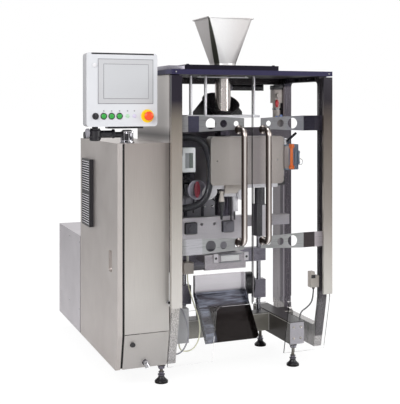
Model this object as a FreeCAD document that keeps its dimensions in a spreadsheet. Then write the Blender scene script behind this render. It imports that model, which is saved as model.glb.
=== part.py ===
import FreeCAD, Part

import math
import os
from types import SimpleNamespace

import Sketcher

# Vertical form fill seal machine: an electrical cabinet at the left, an open frame with two clear
# doors at the right, a hopper on top, a reel housing behind and a control panel on an arm.
# Machine directions: X to the right, Y to the back, Z up, in millimetres. The sizes below are measured
# from the cabinet's lower left front corner, and each finished piece is then placed about the middle
# of the machine's footprint.

SIZES = {
    # cabinet
    "cabinet_wide": 240,
    "cabinet_deep": 673,
    "cabinet_top": 1076,
    "underside": 86,
    "panel_thick": 12,
    "panel_margin": 4,
    "side_panel_thick": 22,
    "gasket_gap": 10,
    "kick_top": 243,
    "kick_lean": 34,
    "panel_seam": 3,
    "grip_front": 88,
    "grip_long": 54,
    "grip_low": 502,
    "grip_tall": 96,
    "grip_depth": 14,
    "grip_corner": 14,
    "vent_front": 413,
    "vent_long": 150,
    "vent_low": 660,
    "vent_tall": 323,
    "vent_proud": 20,
    "vent_depth": 13,
    "vent_rim": 9,
    "vent_front_rim": 12,
    "vent_bar": 18,
    # reel housing
    "reel_box_deep": 502,
    "reel_box_top": 579,
    "reel_cover_gap": 11,
    "reel_cover_thick": 12,
    "reel_shaft_radius": 16,
    "reel_shaft_long": 500,
    "reel_axis_back": 240,
    "reel_axis_height": 400,
    "reel_cone_radius": 55,
    "reel_cone_small": 32,
    "reel_cone_long": 60,
    "reel_cone_near": 60,
    "reel_cone_far": 380,
    # side frames
    "frame_left": 240,
    "frame_inner_left": 280,
    "frame_inner_right": 985,
    "frame_right": 1025,
    "frame_front": -14,
    "frame_back": 465,
    "frame_bottom": 87,
    "frame_post": 20,
    "frame_lean": 55,
    "bend_height": 335,
    "window_back": 342,
    "window_low": 190,
    "window_high": 1355,
    "window_corner": 20,
    "sheet_thick": 4,
    "column_front": 342,
    "column_panel_thick": 6,
    "column_low": 230,
    "column_high": 1335,
    # top
    "plate_low": 1378,
    "plate_thick": 22,
    "plate_left": 227,
    "plate_right": 1030,
    "plate_front": -60,
    "band_thick": 12,
    "beam_front": 400,
    "beam_tall": 29,
    "cover_left": 342,
    "cover_right": 816,
    "cover_front": 75,
    "cover_deep": 255,
    "cover_tall": 28,
    # bag path
    "path_x": 580,
    "path_y": 200,
    "tube_radius": 38,
    "tube_wall": 1.5,
    "tube_low": 716,
    "tube_gap": 2,
    "seat_thick": 3,
    "neck_radius": 62.5,
    "neck_tall": 12,
    "hopper_wall": 2.5,
    "hopper_wide": 228,
    "hopper_deep": 203,
    "hopper_tall": 226,
    "hopper_corner": 16,
    "lip_wide": 7,
    "lip_tall": 4,
    "shoulder_low": 1196,
    "shoulder_radius": 90,
    "shoulder_rise": 62,
    "shoulder_back": 24,
    "shoulder_tilt": 30,
    "shoulder_wall": 2.4,
    "hood_in": 12,
    "hood_side": 14,
    "hood_tall": 80,
    "hood_top": 148,
    "hood_thick": 3,
    "carrier_left": 352,
    "carrier_right": 722,
    "carrier_front": 84,
    "carrier_deep": 180,
    "carrier_thick": 12,
    "tie_y": 100,
    "tie_radius": 7,
    "left_tie_x": 376,
    "middle_tie_x": 450,
    "right_tie_x": 696,
    "roller_left": 706,
    "roller_long": 164,
    "roller_radius": 16,
    "roller_y": 385,
    "roller_drop": 46,
    "roller_bracket": 10,
    # sealing unit
    "rail_front": 288,
    "rail_deep": 50,
    "top_rail_low": 1082,
    "upper_rail_low": 950,
    "middle_rail_low": 640,
    "rail_tall": 50,
    "unit_left": 470,
    "unit_right": 828,
    "unit_front": 110,
    "unit_bar": 44,
    "unit_arm": 36,
    "unit_low": 850,
    "unit_high": 1040,
    "seal_cover_left": 457,
    "seal_cover_right": 830,
    "seal_cover_front": 50,
    "seal_cover_low": 873,
    "seal_cover_high": 1097,
    "seal_cover_corner": 18,
    "coder_wide": 78,
    "coder_front": 45,
    "coder_deep": 85,
    "coder_low": 936,
    "coder_high": 1056,
    "coder_gap": 5,
    "clamp_tall": 20,
    "clamp_lever": 62,
    "clamp_radius": 6,
    "pull_left": 549,
    "pull_wide": 113,
    "pull_tall": 36,
    "pulley_x": 636,
    "pulley_drop": 28,
    "pulley_radius": 26,
    "pulley_thick": 14,
    "wheel_inset": 10,
    "wheel_drop": 10,
    "wheel_radius": 27,
    "servo_x": 743,
    "servo_side": 50,
    "servo_low": 618,
    "servo_joint": 769,
    "motor_y": 160,
    "motor_height": 876,
    "motor_radius": 25,
    "motor_long": 54,
    "display_left": 304,
    "display_wide": 63,
    "display_front": 20,
    "display_deep": 40,
    "display_low": 941,
    "display_high": 1051,
    "display_rim": 8,
    "display_recess": 3,
    "loop_y": 75,
    "loop_radius": 13.5,
    "loop_top": 1092,
    "loop_low": 778,
    "loop_out": 436,
    "loop_corner": 95,
    # jaws
    "cross_front": 250,
    "cross_deep": 70,
    "cross_low": 125,
    "cross_high": 213,
    "right_beam_left": 855,
    "right_beam_wide": 73,
    "right_beam_front": 34,
    "right_beam_back": 440,
    "right_beam_low": 110,
    "right_beam_high": 216,
    "rod_y": 304,
    "rod_right": 820,
    "rod_left": 420,
    "rod_radius": 11,
    "rod_fit": 0.05,
    "crosshead_low": 466,
    "crosshead_tall": 66,
    "crosshead_front": 284,
    "crosshead_deep": 40,
    "crosshead_end": 30,
    "block_low": 282,
    "block_tall": 90,
    "carriage_left": 402,
    "carriage_right": 718,
    "carriage_low": 582,
    "carriage_high": 701,
    "carriage_thick": 12,
    "carriage_hole": 7,
    "carriage_hole_in": 99,
    "carriage_hole_pitch": 67,
    "carriage_hole_drop": 36,
    "carriage_lip": 14,
    "carriage_lip_thick": 5,
    "drive_window_in": 10,
    "drive_window_pitch": 194,
    "drive_window_wide": 66,
    "drive_window_tall": 60,
    "drive_window_up": 36,
    "drive_window_corner": 9,
    "gearbox_gap": 4,
    "gearbox_deep": 26,
    "gearbox_boss": 18,
    "gearbox_boss_thick": 5,
    "jaw_left": 500,
    "jaw_wide": 160,
    "jaw_low": 497,
    "jaw_tall": 36,
    "jaw_front": 170,
    "jaw_deep": 44,
    "jaw_gap": 20,
    "jaw_arm": 26,
    "jaw_clear": 4,
    "tray_low": 462,
    "tray_thick": 3,
    "tray_deep": 44,
    # discharge
    "chute_left": 448,
    "chute_right": 712,
    "chute_top": 425,
    "chute_bend": 330,
    "chute_front": 97,
    "chute_low": 137,
    "chute_thick": 3,
    "chute_flange": 22,
    "chute_leg": 30,
    "chute_leg_inset": 26,
    "drum_left": 668,
    "drum_long": 122,
    "drum_radius": 55,
    "drum_y": 330,
    "drum_height": 350,
    "drum_foot": 60,
    # small units
    "junction_wide": 72,
    "junction_front": 60,
    "junction_deep": 70,
    "junction_low": 165,
    "junction_high": 319,
    "switch_wide": 44,
    "switch_deep": 30,
    "switch_front": -12,
    "switch_low": 381,
    "switch_high": 435,
    "switch_head": 20,
    "cable_radius": 3.2,
    "cable_reach": 48,
    "cable_setback": 50,
    "hose_radius": 3.5,
    "hose_y": 46,
    "hose_out": 66,
    "hose_low": 124,
    "hose_high": 352,
    "pale_hose_radius": 3,
    "pale_hose_low": 114,
    "jaw_hose_radius": 3.2,
    "jaw_hose_rise": 55,
    "jaw_hose_pitch": 14,
    "jaw_hose_setback": 35,
    # mounting wall and what it carries
    "wall_right": 707,
    "wall_thick": 8,
    "wall_low": 430,
    "wall_high": 1092,
    "wall_corner": 18,
    "manifold_left": 398,
    "manifold_wide": 48,
    "manifold_deep": 44,
    "manifold_low": 436,
    "manifold_high": 490,
    "valve_left": 300,
    "valve_wide": 26,
    "valve_gap": 4,
    "valve_base": 22,
    "valve_deep": 46,
    "valve_low": 735,
    "valve_tall": 66,
    "valve_inset": 8,
    "air_wide": 46,
    "air_deep": 48,
    "air_back": 398,
    "air_bowl_long": 78,
    "air_body_tall": 77,
    "air_high": 1330,
    "air_bowl_radius": 20,
    "gauge_radius": 15,
    "gauge_proud": 9,
    # feet
    "foot_radius": 30,
    "foot_disc": 8,
    "foot_cone": 12,
    "stem_radius": 7.5,
    "nut_radius": 13,
    "nut_tall": 10,
    "foot_front": 64,
    "foot_left": 222,
    "foot_right": 886,
    "foot_back": 420,
    "foot_reel_x": 120,
    "foot_reel_y": 1100,
    # doors
    "hinge_y": -22,
    "hinge_right": 1022,
    "hinge_left": 240,
    "meeting": 624.5,
    "door_gap": 5,
    "glass_thick": 8,
    "glass_back": -40,
    "glass_top": 1371,
    "glass_bottom": 80,
    "glass_lean": 57,
    "glass_right": 1024,
    "glass_left": 232,
    "notch_left": 446,
    "notch_right": 811,
    "notch_top": 340,
    "notch_corner": 24,
    "stile_thick": 12,
    "stile_wrap": 5,
    "stile_low": 355,
    "stile_high": 1373,
    "stile_right_in": 983,
    "stile_left_in": 276,
    "arm_thick": 4,
    "arm_upper": 1159,
    "arm_lower": 614,
    "arm_tall": 71,
    "arm_tip": 50,
    "arm_inner": 42,
    "arm_outer": 262,
    "arm_link": 70,
    "big_hole_radius": 25,
    "middle_hole_radius": 17.5,
    "small_hole_radius": 12.5,
    "hole_first": 57,
    "hole_pitch": 62,
    "knuckle_radius": 7,
    "knuckle_tall": 30,
    "knuckle_fixed": 16,
    "knuckle_play": 0.3,
    "pin_radius": 3.5,
    "pin_play": 0.05,
    "leaf_thick": 3,
    "leaf_wide": 34,
    "link_block": 9,
    "handle_left_in": 72.5,
    "handle_right_in": 47.5,
    "handle_low": 625,
    "handle_high": 1132,
    "handle_y": -110,
    "handle_radius": 14,
    "handle_bend": 28,
    "rose_radius": 20,
    "rose_thick": 5,
    # control panel
    "panel_left": -138,
    "panel_wide": 316,
    "panel_front": -10,
    "panel_deep": 70,
    "panel_low": 1150,
    "panel_tall": 317,
    "panel_corner": 14,
    "bezel_left": -89,
    "bezel_wide": 242,
    "bezel_low": 1248,
    "bezel_tall": 190,
    "bezel_thick": 4,
    "bezel_corner": 6,
    "screen_left": -62,
    "screen_wide": 196,
    "screen_low": 1271,
    "screen_tall": 147,
    "screen_recess": 2,
    "button_radius": 12,
    "button_proud": 9,
    "ring_radius": 15,
    "ring_proud": 4,
    "button_height": 1195,
    "selector_x": -100,
    "button_first": -64,
    "button_pitch": 35,
    "usb_x": -105,
    "usb_height": 1412,
    "stop_x": 134,
    "stop_plate": 29,
    "stop_plate_thick": 2,
    "stop_neck": 13,
    "stop_radius": 20,
    "stop_proud": 24,
    "swivel_x": 55,
    "swivel_y": 45,
    "swivel_pin": 10,
    "swivel_sleeve": 20,
    "swivel_tall": 48,
    "swivel_play": 0.3,
    "swivel_cap": 6,
    "bracket_thick": 10,
    "bracket_wide": 70,
    "bracket_deep": 50,
    "wing_thick": 12,
    "wing_tall": 52,
    "knuckle_x": -88,
    "elbow_radius": 25,
    "elbow_wide": 50,
    "arm_height": 1113,
    "arm_radius": 13,
    "cap_radius": 15,
    "cap_long": 24,
}


class Size:
    """A length together with the formula that ties it to the sheet of sizes."""

    def __init__(self, number, formula):
        self.number = float(number)
        self.formula = formula

    def __add__(self, other):
        other = as_size(other)
        return Size(self.number + other.number, f"({self.formula} + {other.formula})")

    def __radd__(self, other):
        return as_size(other) + self

    def __sub__(self, other):
        other = as_size(other)
        return Size(self.number - other.number, f"({self.formula} - {other.formula})")

    def __rsub__(self, other):
        return as_size(other) - self

    def __mul__(self, other):
        other = as_size(other)
        return Size(self.number * other.number, f"({self.formula} * {other.formula})")

    def __rmul__(self, other):
        return as_size(other) * self

    def __truediv__(self, other):
        other = as_size(other)
        return Size(self.number / other.number, f"({self.formula} / {other.formula})")

    def __neg__(self):
        return Size(-self.number, f"(0 - {self.formula})")


def as_size(value):
    """A plain number counts as a size whose formula is the number itself."""
    return value if isinstance(value, Size) else Size(value, repr(value))


doc = FreeCAD.newDocument("form_fill_seal_machine")
sheet = doc.addObject("Spreadsheet::Sheet", "Sizes")
for row, (alias, number) in enumerate(SIZES.items(), 1):
    sheet.set(f"A{row}", alias)
    sheet.set(f"B{row}", str(number))
    sheet.setAlias(f"B{row}", alias)
doc.recompute()
s = SimpleNamespace(**{alias: Size(sheet.get(alias), f"Sizes.{alias}") for alias in SIZES})

ALONG_X = FreeCAD.Rotation(FreeCAD.Vector(0, 1, 0), 90)
ALONG_Y = FreeCAD.Rotation(FreeCAD.Vector(1, 0, 0), -90)
UPRIGHT = FreeCAD.Rotation()

FRONT_REACH = s.handle_y - s.handle_radius
BACK_REACH = s.cabinet_deep + s.reel_box_deep
DATUM_X = (s.panel_left + s.plate_right) / 2
DATUM_Y = (FRONT_REACH + BACK_REACH) / 2

corners = {}
nodes = []


def bind(thing, path, value):
    """Set a property of a document object by its formula."""
    thing.setExpression(path, as_size(value).formula)


def place(thing, x, y, z, turn=UPRIGHT):
    """Stand a primitive or body at a corner or centre in machine directions."""
    thing.Placement = FreeCAD.Placement(FreeCAD.Vector(0, 0, 0), turn)
    for axis, value in zip("xyz", (x, y, z)):
        bind(thing, f".Placement.Base.{axis}", value)
    corners[thing.Name] = (as_size(x), as_size(y), as_size(z))
    return thing


def box(x, y, z, wide, deep, tall):
    """A plain block from its lowest corner and its three sides."""
    block = doc.addObject("Part::Box", "Block")
    bind(block, "Length", wide)
    bind(block, "Width", deep)
    bind(block, "Height", tall)
    return place(block, x, y, z)


def span(low_x, low_y, low_z, high_x, high_y, high_z):
    """A plain block between two corners."""
    return box(low_x, low_y, low_z, high_x - low_x, high_y - low_y, high_z - low_z)


def rod(x, y, z, radius, length, turn=UPRIGHT):
    """A round bar from the centre of its first end."""
    bar = doc.addObject("Part::Cylinder", "Bar")
    bind(bar, "Radius", radius)
    bind(bar, "Height", length)
    return place(bar, x, y, z, turn)


def cone(x, y, z, radius, end_radius, length, turn=UPRIGHT):
    """A round taper from the centre of its first end."""
    taper = doc.addObject("Part::Cone", "Taper")
    bind(taper, "Radius1", radius)
    bind(taper, "Radius2", end_radius)
    bind(taper, "Height", length)
    return place(taper, x, y, z, turn)


def fuse(*pieces):
    """Pieces that are one part, or like parts on one carrier."""
    joined = doc.addObject("Part::MultiFuse", "Joined")
    joined.Shapes = list(pieces)
    return joined


def cut(base, *tools):
    """A piece with holes or recesses taken out."""
    result = doc.addObject("Part::Cut", "Cut")
    result.Base = base
    result.Tool = tools[0] if len(tools) == 1 else fuse(*tools)
    return result


def draw(sketch, outline):
    """Add one closed outline: corner points, or a circle as centre and radius."""
    if isinstance(outline, dict):
        x, y, radius = (as_size(outline[key]) for key in ("x", "y", "radius"))
        ring = Part.Circle(FreeCAD.Vector(x.number, y.number, 0), FreeCAD.Vector(0, 0, 1), radius.number)
        index = sketch.addGeometry(ring, False)
        rules = [("DistanceX", x, 3), ("DistanceY", y, 3)]
        for kind, value, point in rules:
            rule = sketch.addConstraint(Sketcher.Constraint(kind, -1, 1, index, point, value.number))
            sketch.setExpression(f"Constraints[{rule}]", value.formula)
        rule = sketch.addConstraint(Sketcher.Constraint("Radius", index, radius.number))
        sketch.setExpression(f"Constraints[{rule}]", radius.formula)
        return
    points = [(as_size(x), as_size(y)) for x, y in outline]
    first = sketch.GeometryCount
    for start, end in zip(points, points[1:] + points[:1]):
        line = Part.LineSegment(
            FreeCAD.Vector(start[0].number, start[1].number, 0),
            FreeCAD.Vector(end[0].number, end[1].number, 0),
        )
        sketch.addGeometry(line, False)
    for step in range(len(points)):
        following = first + (step + 1) % len(points)
        sketch.addConstraint(Sketcher.Constraint("Coincident", first + step, 2, following, 1))
    for step, point in enumerate(points):
        for kind, value in zip(("DistanceX", "DistanceY"), point):
            rule = sketch.addConstraint(
                Sketcher.Constraint(kind, -1, 1, first + step, 1, value.number)
            )
            sketch.setExpression(f"Constraints[{rule}]", value.formula)


def extrude(plane, start, length, *outlines):
    """A body padded from outlines on an origin plane: XY grows up, YZ to the right, XZ to the front."""
    body = doc.addObject("PartDesign::Body", "Profile")
    sketch = body.newObject("Sketcher::SketchObject", "Outline")
    support = next(item for item in body.Origin.OriginFeatures if item.Role == f"{plane}_Plane")
    sketch.AttachmentSupport = [(support, "")]
    sketch.MapMode = "FlatFace"
    for outline in outlines:
        draw(sketch, outline)
    pad = body.newObject("PartDesign::Pad", "Pad")
    pad.Profile = sketch
    bind(pad, "Length", length)
    if plane == "XY":
        return place(body, 0, 0, start)
    if plane == "YZ":
        return place(body, start, 0, 0)
    return place(body, 0, start, 0)


def is_along(edge, axis):
    """True for a straight edge that runs along one of the body's own axes."""
    if edge.Curve.TypeId != "Part::GeomLine":
        return False
    return abs(abs(edge.Curve.Direction.dot(axis)) - 1) < 1e-6


def round_edges(body, radius, chosen):
    """Fillet the edges of a body that a test picks out."""
    doc.recompute()
    solid = body.Tip
    names = [f"Edge{number}" for number, edge in enumerate(solid.Shape.Edges, 1) if chosen(edge)]
    fillet = body.newObject("PartDesign::Fillet", "Rounding")
    fillet.Base = (solid, names)
    bind(fillet, "Radius", radius)
    body.Tip = fillet
    return body


X_AXIS = FreeCAD.Vector(1, 0, 0)
Y_AXIS = FreeCAD.Vector(0, 1, 0)
Z_AXIS = FreeCAD.Vector(0, 0, 1)
# How many valves stand side by side.
VALVES = 5
# How much of the shorter run beside a bend a soft tube's arc takes up.
SHARE_OF_RUN = 0.45
# Half the angle that each flat side of the hopper's mouth takes up on the neck's circle.
FLAT_ANGLE = 6
# The route of the door switch's cable, from the switch down and in to the beam below it. Across and
# back are shares of the way between the two ends, and the last number is the height's share.
CABLE_ROUTE = (
    (0, 0, 1), (0, 0, 0.77), (0.08, 0.2, 0.56), (0.38, 0.54, 0.39), (1, 1, 0.22), (1, 1, 0),
)
# The hose below the left door's stile: shares of how far it hangs out of the frame, and of its fall.
HOSE_ROUTE = (
    (0, 1), (0.36, 1), (0.5, 0.87), (0.71, 0.73), (0.91, 0.55), (1, 0.35), (0.82, 0.16), (0.39, 0),
    (0, 0),
)
# The pale hose from the jaws' manifold to the junction box: shares of the way across, forward and down.
PALE_ROUTE = (
    (0, 0, 1), (0, 0, 0.89), (-0.04, 0.13, 0.74), (-0.1, 0.33, 0.595), (-0.14, 0.57, 0.46),
    (-0.12, 0.79, 0.31), (0, 0.92, 0.155), (0.27, 0.98, 0.035), (0.63, 1, 0), (1, 1, 0.04),
    (1, 1, 0.158),
)
# The jaws' two hoses, up from the front jaw and over to the manifold: shares across, back and up.
JAW_ROUTE = (
    (0, 0, 0), (0, 0, 0.42), (0.16, 0.08, 0.85), (0.5, 0.24, 1), (0.83, 0.53, 0.6), (1, 1, 0.2),
    (1, 1, -0.5),
)


def rounded_plate(x, front, z, wide, thick, tall, radius):
    """An upright plate that faces the front, with rounded corners."""
    outline = [(x, z), (x + wide, z), (x + wide, z + tall), (x, z + tall)]
    plate = extrude("XZ", front + thick, thick, outline)
    return round_edges(plate, radius, lambda edge: is_along(edge, Y_AXIS))


def node(name, thing):
    """Finish a sub-part: its name, and its place about the middle of the footprint."""
    x, y, z = corners.get(thing.Name, (as_size(0), as_size(0), as_size(0)))
    bind(thing, ".Placement.Base.x", x - DATUM_X)
    bind(thing, ".Placement.Base.y", y - DATUM_Y)
    bind(thing, ".Placement.Base.z", z)
    thing.Label = name
    nodes.append(thing)


def made_node(name, shape):
    """A sub-part whose form no feature gives, from a shape worked out from the sheet."""
    thing = doc.addObject("Part::Feature", "Shaped")
    thing.Shape = shape
    node(name, thing)


def cabinet():
    """The electrical cabinet: its housing, lift-off side panel, front panel and kick panel."""
    back = s.cabinet_deep
    outside = s.frame_left - s.cabinet_wide
    inside = outside + s.side_panel_thick
    slope = [
        (s.panel_thick, s.cabinet_top),
        (back, s.cabinet_top),
        (back, s.underside),
        (s.panel_thick + s.kick_lean, s.underside),
        (s.panel_thick, s.kick_top),
    ]
    node("cabinet_housing", extrude("YZ", inside, s.frame_left - inside, slope))

    outer = [
        (0, s.cabinet_top),
        (back, s.cabinet_top),
        (back, s.underside),
        (s.kick_lean, s.underside),
        (0, s.kick_top),
    ]
    side = extrude("YZ", outside, s.side_panel_thick, outer)
    recess_outline = [
        (s.grip_front, s.grip_low),
        (s.grip_front + s.grip_long, s.grip_low),
        (s.grip_front + s.grip_long, s.grip_low + s.grip_tall),
        (s.grip_front, s.grip_low + s.grip_tall),
    ]
    recess = extrude("YZ", outside - s.grip_depth, s.grip_depth * 2, recess_outline)
    round_edges(recess, s.grip_corner, lambda edge: is_along(edge, X_AXIS))
    node("cabinet_side_panel", cut(side, recess))

    left = inside + s.gasket_gap
    wide = s.frame_left - s.panel_margin - left
    low = s.kick_top + s.panel_seam
    front = box(left, 0, low, wide, s.panel_thick, s.cabinet_top - low)
    node("cabinet_front_panel", front)

    kick = [
        (0, s.kick_top),
        (s.panel_thick, s.kick_top),
        (s.panel_thick + s.kick_lean, s.underside),
        (s.kick_lean, s.underside),
    ]
    node("cabinet_kick_panel", extrude("YZ", left, wide, kick))


def vent_cover():
    """The black cover over the cabinet's fan openings, with two fields for its mesh."""
    face = s.frame_left - s.cabinet_wide - s.vent_proud
    cover = box(face, s.vent_front, s.vent_low, s.vent_proud, s.vent_long, s.vent_tall)
    field_tall = (s.vent_tall - s.vent_rim * 2 - s.vent_bar) / 2
    field_long = s.vent_long - s.vent_rim - s.vent_front_rim
    fields = []
    for level in range(2):
        low = s.vent_low + s.vent_rim + (field_tall + s.vent_bar) * level
        start = s.vent_front + s.vent_front_rim
        near = face - s.vent_proud
        fields.append(box(near, start, low, s.vent_proud + s.vent_depth, field_long, field_tall))
    node("side_vent_cover", cut(cover, *fields))


def reel_housing():
    """The lower box behind the cabinet, and the film reel's shaft that it carries."""
    back = s.cabinet_deep + s.reel_box_deep
    outside = s.frame_left - s.cabinet_wide
    inside = outside + s.reel_cover_thick
    housing = span(inside, s.cabinet_deep, s.underside, s.frame_left, back, s.reel_box_top)
    node("reel_housing", housing)
    cover = span(outside, s.cabinet_deep + s.reel_cover_gap, s.underside, inside, back, s.reel_box_top)
    node("reel_housing_cover", cover)

    axis_y = s.cabinet_deep + s.reel_axis_back
    shaft = rod(s.frame_left, axis_y, s.reel_axis_height, s.reel_shaft_radius, s.reel_shaft_long, ALONG_X)
    hubs = []
    for offset, first, last in (
        (s.reel_cone_near, s.reel_cone_radius, s.reel_cone_small),
        (s.reel_cone_far, s.reel_cone_small, s.reel_cone_radius),
    ):
        start = s.frame_left + offset
        hub = cone(start, axis_y, s.reel_axis_height, first, last, s.reel_cone_long, ALONG_X)
        hubs.append(hub)
    node("reel_shaft", fuse(shaft, *hubs))


def side_frames():
    """The two side frames with their windows, and what closes them."""
    front = s.frame_front
    outer = [
        (front, s.plate_low),
        (s.frame_back, s.plate_low),
        (s.frame_back, s.frame_bottom),
        (front + s.frame_lean, s.frame_bottom),
        (front, s.bend_height),
    ]
    inner = front + s.frame_post
    lean = s.frame_lean * (s.bend_height - s.window_low) / (s.bend_height - s.frame_bottom)
    window = [
        (inner, s.window_high),
        (s.window_back, s.window_high),
        (s.window_back, s.window_low),
        (inner + lean, s.window_low),
        (inner, s.bend_height),
    ]
    for name, start, end in (
        ("left_side_frame", s.frame_left, s.frame_inner_left),
        ("right_side_frame", s.frame_inner_right, s.frame_right),
    ):
        frame = extrude("YZ", start, end - start, outer, window)
        inside = (s.frame_front.number, s.window_back.number + 1, s.window_low.number, s.window_high.number)
        round_edges(frame, s.window_corner, lambda edge: is_window_corner(edge, inside))
        node(name, frame)
    sheet_side = span(
        s.frame_left - s.sheet_thick, 0, s.cabinet_top, s.frame_left, s.frame_back, s.plate_low
    )
    node("left_side_sheet", sheet_side)

    panels = []
    for low_x in (s.frame_inner_left, s.frame_inner_right - s.column_panel_thick):
        panels.append(
            span(
                low_x, s.column_front, s.column_low,
                low_x + s.column_panel_thick, s.frame_back - s.sheet_thick, s.column_high,
            )
        )
    node("column_panels", fuse(*panels))


def is_window_corner(edge, limits):
    """True for an edge across the frame at one of the window's four square corners."""
    front, back, low, high = limits
    if not is_along(edge, X_AXIS):
        return False
    y, z = edge.Vertexes[0].Y, edge.Vertexes[0].Z
    within = front < y < back and low - 1 < z < high + 1
    return within and (abs(z - low) < 1 or abs(z - high) < 1)


def top():
    """The top plate with its front band and the low cover box on it."""
    high = s.plate_low + s.plate_thick
    split = s.plate_front + s.band_thick
    plate = span(s.plate_left, split, s.plate_low, s.plate_right, s.frame_back, high)
    bore = rod(s.path_x, s.path_y, s.plate_low, s.tube_radius + s.tube_gap, s.plate_thick)
    node("top_plate", cut(plate, bore))
    node("top_front_band", span(s.plate_left, s.plate_front, s.plate_low, s.plate_right, split, high))
    cover = box(s.cover_left, s.cover_front, high, s.cover_right - s.cover_left, s.cover_deep, s.cover_tall)
    # The tube's upper rim stops against a narrow seat at the top of this bore.
    bore = rod(s.path_x, s.path_y, high, s.tube_radius + s.tube_gap, s.cover_tall - s.seat_thick)
    mouth = rod(s.path_x, s.path_y, high, s.tube_radius - s.tube_wall, s.cover_tall)
    node("top_cover_box", cut(cover, bore, mouth))


def rounded_rectangle(x, y, z, half_x, half_y, corner):
    """A level rounded rectangle, as four sides and four corner arcs."""
    edges = []
    sides = ((half_x, half_y, 0), (half_y, half_x, 90), (half_x, half_y, 180), (half_y, half_x, 270))
    for reach, across, angle in sides:
        turn = FreeCAD.Rotation(Z_AXIS, angle)
        base = FreeCAD.Vector(x, y, z)
        first = base + turn.multVec(FreeCAD.Vector(reach, -(across - corner), 0))
        last = base + turn.multVec(FreeCAD.Vector(reach, across - corner, 0))
        slant = corner * math.sqrt(0.5)
        middle = base + turn.multVec(
            FreeCAD.Vector(reach - corner + slant, across - corner + slant, 0)
        )
        finish = base + turn.multVec(FreeCAD.Vector(reach - corner, across, 0))
        edges.append(Part.makeLine(first, last))
        edges.append(Part.Arc(last, middle, finish).toShape())
    return Part.Wire(edges)


def divided_circle(x, y, z, radius, flat):
    """A level circle in eight arcs, so that each matches an edge of the rounded rectangle."""
    edges = []
    for quarter in range(4):
        middle = 90 * quarter
        for low, high in ((middle - flat, middle + flat), (middle + flat, middle + 90 - flat)):
            points = [
                FreeCAD.Vector(
                    x + radius * math.cos(math.radians(angle)),
                    y + radius * math.sin(math.radians(angle)),
                    z,
                )
                for angle in (low, (low + high) / 2, high)
            ]
            edges.append(Part.Arc(*points).toShape())
    return Part.Wire(edges)


def hopper():
    """The sheet metal hopper: a rectangular mouth that turns into a round neck."""
    base = s.plate_low + s.plate_thick + s.cover_tall
    x, y, low = s.path_x.number, s.path_y.number, base.number
    neck_top = low + s.neck_tall.number
    high = low + s.hopper_tall.number
    wall = s.hopper_wall.number
    half_x, half_y = s.hopper_wide.number / 2, s.hopper_deep.number / 2
    skins = []
    for inset in (0, wall):
        radius = s.neck_radius.number - inset
        corner = s.hopper_corner.number - inset
        ring = divided_circle(x, y, neck_top, radius, FLAT_ANGLE)
        mouth = rounded_rectangle(x, y, high, half_x - inset, half_y - inset, corner)
        flare = Part.makeLoft([ring, mouth], True, True)
        neck = Part.makeCylinder(radius, neck_top - low, FreeCAD.Vector(x, y, low))
        skins.append(flare.fuse(neck))
    lip = rounded_rectangle(
        x, y, high - s.lip_tall.number, half_x + s.lip_wide.number, half_y + s.lip_wide.number,
        s.hopper_corner.number + s.lip_wide.number,
    )
    rim = Part.Face(lip).extrude(FreeCAD.Vector(0, 0, s.lip_tall.number))
    made_node("hopper", skins[0].fuse(rim).cut(skins[1]))


def forming_tube():
    """The round tube that the film is wrapped about, from under the hopper's neck to the jaws."""
    tall = s.plate_low + s.plate_thick + s.cover_tall - s.seat_thick - s.tube_low
    outside = rod(s.path_x, s.path_y, s.tube_low, s.tube_radius, tall)
    inside = rod(s.path_x, s.path_y, s.tube_low, s.tube_radius - s.tube_wall, tall)
    node("forming_tube", cut(outside, inside))


def forming_shoulder():
    """The collar that folds the flat film round the tube, tilted so that its back stands higher."""
    x, y, low = s.path_x.number, s.path_y.number, s.shoulder_low.number
    tilt = math.radians(s.shoulder_tilt.number)
    normal = FreeCAD.Vector(0, -math.sin(tilt), math.cos(tilt))
    centre = FreeCAD.Vector(x, y + s.shoulder_back.number, low + s.shoulder_rise.number)
    inner = s.tube_radius.number + s.tube_gap.number
    skins = []
    for grow in (s.shoulder_wall.number, 0):
        foot = Part.Wire(Part.makeCircle(inner + grow, FreeCAD.Vector(x, y, low), Z_AXIS))
        brim = Part.Wire(Part.makeCircle(s.shoulder_radius.number + grow, centre, normal))
        skins.append(Part.makeLoft([foot, brim], True, True))
    # The hood behind the collar guides the film's two edges up and over.
    back = s.carrier_front + s.carrier_deep - s.hood_thick
    reach = s.carrier_right.number - s.hood_in.number - x
    side, top = low + s.hood_side.number, low + s.hood_tall.number
    outline = [(-reach, low), (-reach, side), (-s.hood_top.number / 2, top)]
    outline += [(-across, height) for across, height in reversed(outline)]
    corners = [FreeCAD.Vector(x + across, back.number, height) for across, height in outline]
    hood = Part.Face(Part.makePolygon(corners + corners[:1]))
    hood = hood.extrude(FreeCAD.Vector(0, s.hood_thick.number, 0))
    made_node("forming_shoulder", skins[0].fuse(hood).cut(skins[1]))


def shoulder_hanger():
    """The plate that holds the shoulder, hung from the top plate on three rods."""
    low = s.shoulder_low - s.carrier_thick
    plate = box(
        s.carrier_left, s.carrier_front, low,
        s.carrier_right - s.carrier_left, s.carrier_deep, s.carrier_thick,
    )
    bore = rod(s.path_x, s.path_y, low, s.tube_radius + s.tube_gap, s.carrier_thick)
    places = (s.left_tie_x, s.middle_tie_x, s.right_tie_x)
    length = s.plate_low - s.shoulder_low
    rods = [rod(x, s.tie_y, s.shoulder_low, s.tie_radius, length) for x in places]
    node("shoulder_hanger", fuse(cut(plate, bore), *rods))


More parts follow.
